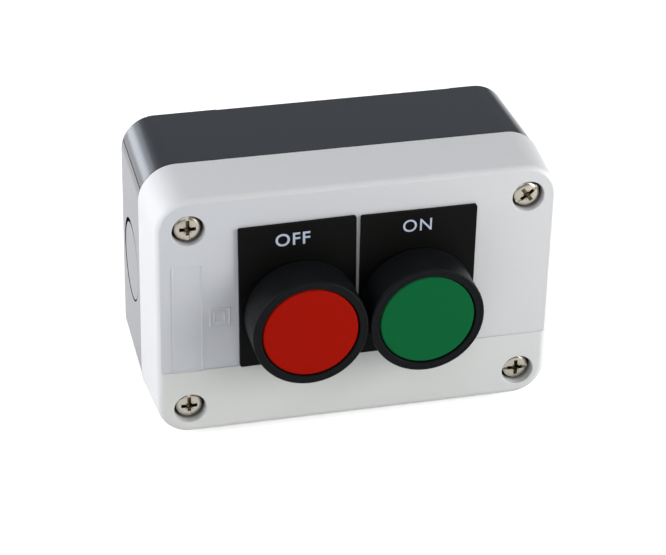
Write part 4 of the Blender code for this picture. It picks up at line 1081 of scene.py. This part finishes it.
def tent_world(stage):
    """A tent that is white to the camera and fades upwards for the light and the reflections."""
    fade_end, cool, white = 0.45, (0.92, 0.98, 1.08), (1.0, 1.0, 1.0)
    world = bpy.data.worlds.new("tent")
    bpy.context.scene.world = world
    world.use_nodes = True
    tree = world.node_tree
    seen = add_node(tree, "LightPath", {}).outputs["Is Camera Ray"]
    where = add_node(tree, "TexCoord", {}).outputs["Generated"]
    height = add_node(tree, "SeparateXYZ", {0: where}).outputs["Z"]
    fade = mapped(tree, height, 0.0, fade_end, stage.tent_side, stage.tent_top, "SMOOTHSTEP")
    strength = add_node(tree, "Mix", {"Factor": seen, "A": fade, "B": 1.0}, data_type="FLOAT")
    inputs = {"Strength": strength.outputs["Result"], "Color": mixed(tree, seen, cool, white)}
    feed(tree, tree.nodes["Background"], inputs)


def floor_material(seen_glow, mirrored_glow):
    """White floor: diffuse for the light and the shadow, plus a glow for the camera and for reflections.

    The camera's glow grows from its value under the object to 1 far out, where the lamps' light has died.
    """
    near, far, white = 0.3, 0.9, (0.78, 0.78, 0.78)
    made = bpy.data.materials.new("studio_floor")
    made.use_nodes = True
    tree = made.node_tree
    tree.nodes.remove(tree.nodes["Principled BSDF"])
    path = add_node(tree, "LightPath", {}).outputs
    place = add_node(tree, "TexCoord", {}).outputs["Object"]
    away = add_node(tree, "VectorMath", {0: place}, operation="LENGTH").outputs["Value"]
    seen = mapped(tree, away, near, far, seen_glow, 1.0, "SMOOTHSTEP")
    mirrored = maths(tree, "MULTIPLY", path["Is Glossy Ray"], mirrored_glow)
    strength = maths(tree, "MULTIPLY_ADD", path["Is Camera Ray"], seen, mirrored)
    glow = add_node(tree, "Emission", {"Strength": strength}).outputs[0]
    plain = add_node(tree, "BsdfDiffuse", {"Color": white}).outputs[0]
    both = add_node(tree, "AddShader", {0: plain, 1: glow}).outputs[0]
    feed(tree, tree.nodes["Material Output"], {"Surface": both})
    return made


class STATION_OT_stage(Operator):
    """Set up the floor, the tent, the softboxes and the camera"""

    bl_idname = "station.stage"
    bl_label = "Stage"

    def execute(self, context):
        stage = context.scene.station_stage
        ground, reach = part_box("cover")[0].z - PLAY, 3.0
        mesh = bpy.data.meshes.new("studio_floor")
        mesh.from_pydata(at_height(reach * SQUARE, ground).tolist(), [], [(0, 1, 2, 3)])
        mesh.materials.append(floor_material(stage.floor_white, stage.floor_glow))
        new_object("studio_floor", mesh)
        tent_world(stage)
        aim = (0.0, -0.03, 0.0)
        bluish, warm, cool = (0.985, 0.985, 1.0), (1.0, 0.995, 0.965), (0.90, 0.95, 1.04)
        lamp("left_softbox", (-0.55, 0.02, 0.26), aim, 0.4, 0.4, stage.left_lamp, bluish)
        lamp("right_softbox", (0.32, -0.28, 0.12), aim, 0.25, 0.25, stage.right_lamp, warm)
        lamp("side_lamp", (0.60, 0.02, 0.05), aim, 0.3, 0.3, stage.side_lamp)
        lamp("front_fill", (-0.13, -0.48, 0.34), aim, 0.3, 0.3, stage.front_lamp)
        lamp("rear_panel", (-0.36, 0.55, 0.125), aim, 0.5, 0.24, stage.rear_lamp, cool)
        lamp("rear_strip", (-0.36, 0.54, 0.055), aim, 0.5, 0.17, stage.strip_lamp, cool)
        data = bpy.data.cameras.new("camera")
        data.lens = stage.camera_lens
        data.clip_start = 0.01
        camera = new_object("camera", data)
        camera.location = stage.camera_place
        camera.rotation_euler = stage.camera_tilt
        context.scene.camera = camera
        context.scene.view_settings.view_transform = "Standard"
        return {"FINISHED"}


OPERATORS = (
    STATION_OT_base,
    STATION_OT_cover,
    STATION_OT_screws,
    STATION_OT_plates,
    STATION_OT_lettering,
    STATION_OT_heads,
    STATION_OT_caps,
    STATION_OT_springs,
    STATION_OT_inner_parts,
    STATION_OT_stage,
)
GROUPS = {
    "station_case": StationCase,
    "station_buttons": StationButtons,
    "station_colours": StationColours,
    "station_stage": StationStage,
}


class STATION_PT_panel(Panel):
    """Sizes, colours and builders of the control station"""

    bl_idname = "STATION_PT_panel"
    bl_label = "Control station"
    bl_space_type = "VIEW_3D"
    bl_region_type = "UI"
    bl_category = "Station"

    def draw(self, context):
        for attribute, group in GROUPS.items():
            part = self.layout.box()
            for name in group.__annotations__:
                part.prop(getattr(context.scene, attribute), name)
        for operator in OPERATORS:
            self.layout.operator(operator.bl_idname)


def register():
    """Register the classes and hang the property groups on the scene."""
    for item in (*GROUPS.values(), *OPERATORS, STATION_PT_panel):
        bpy.utils.register_class(item)
    for attribute, group in GROUPS.items():
        setattr(bpy.types.Scene, attribute, PointerProperty(type=group))


def unregister():
    """Take the property groups and the classes away again."""
    for attribute in GROUPS:
        delattr(bpy.types.Scene, attribute)
    for item in (STATION_PT_panel, *reversed(OPERATORS), *GROUPS.values()):
        bpy.utils.unregister_class(item)


def main():
    """Build every piece in order."""
    register()
    for operator in OPERATORS:
        group, name = operator.bl_idname.split(".")
        getattr(getattr(bpy.ops, group), name)()


if __name__ == "__main__":
    main()
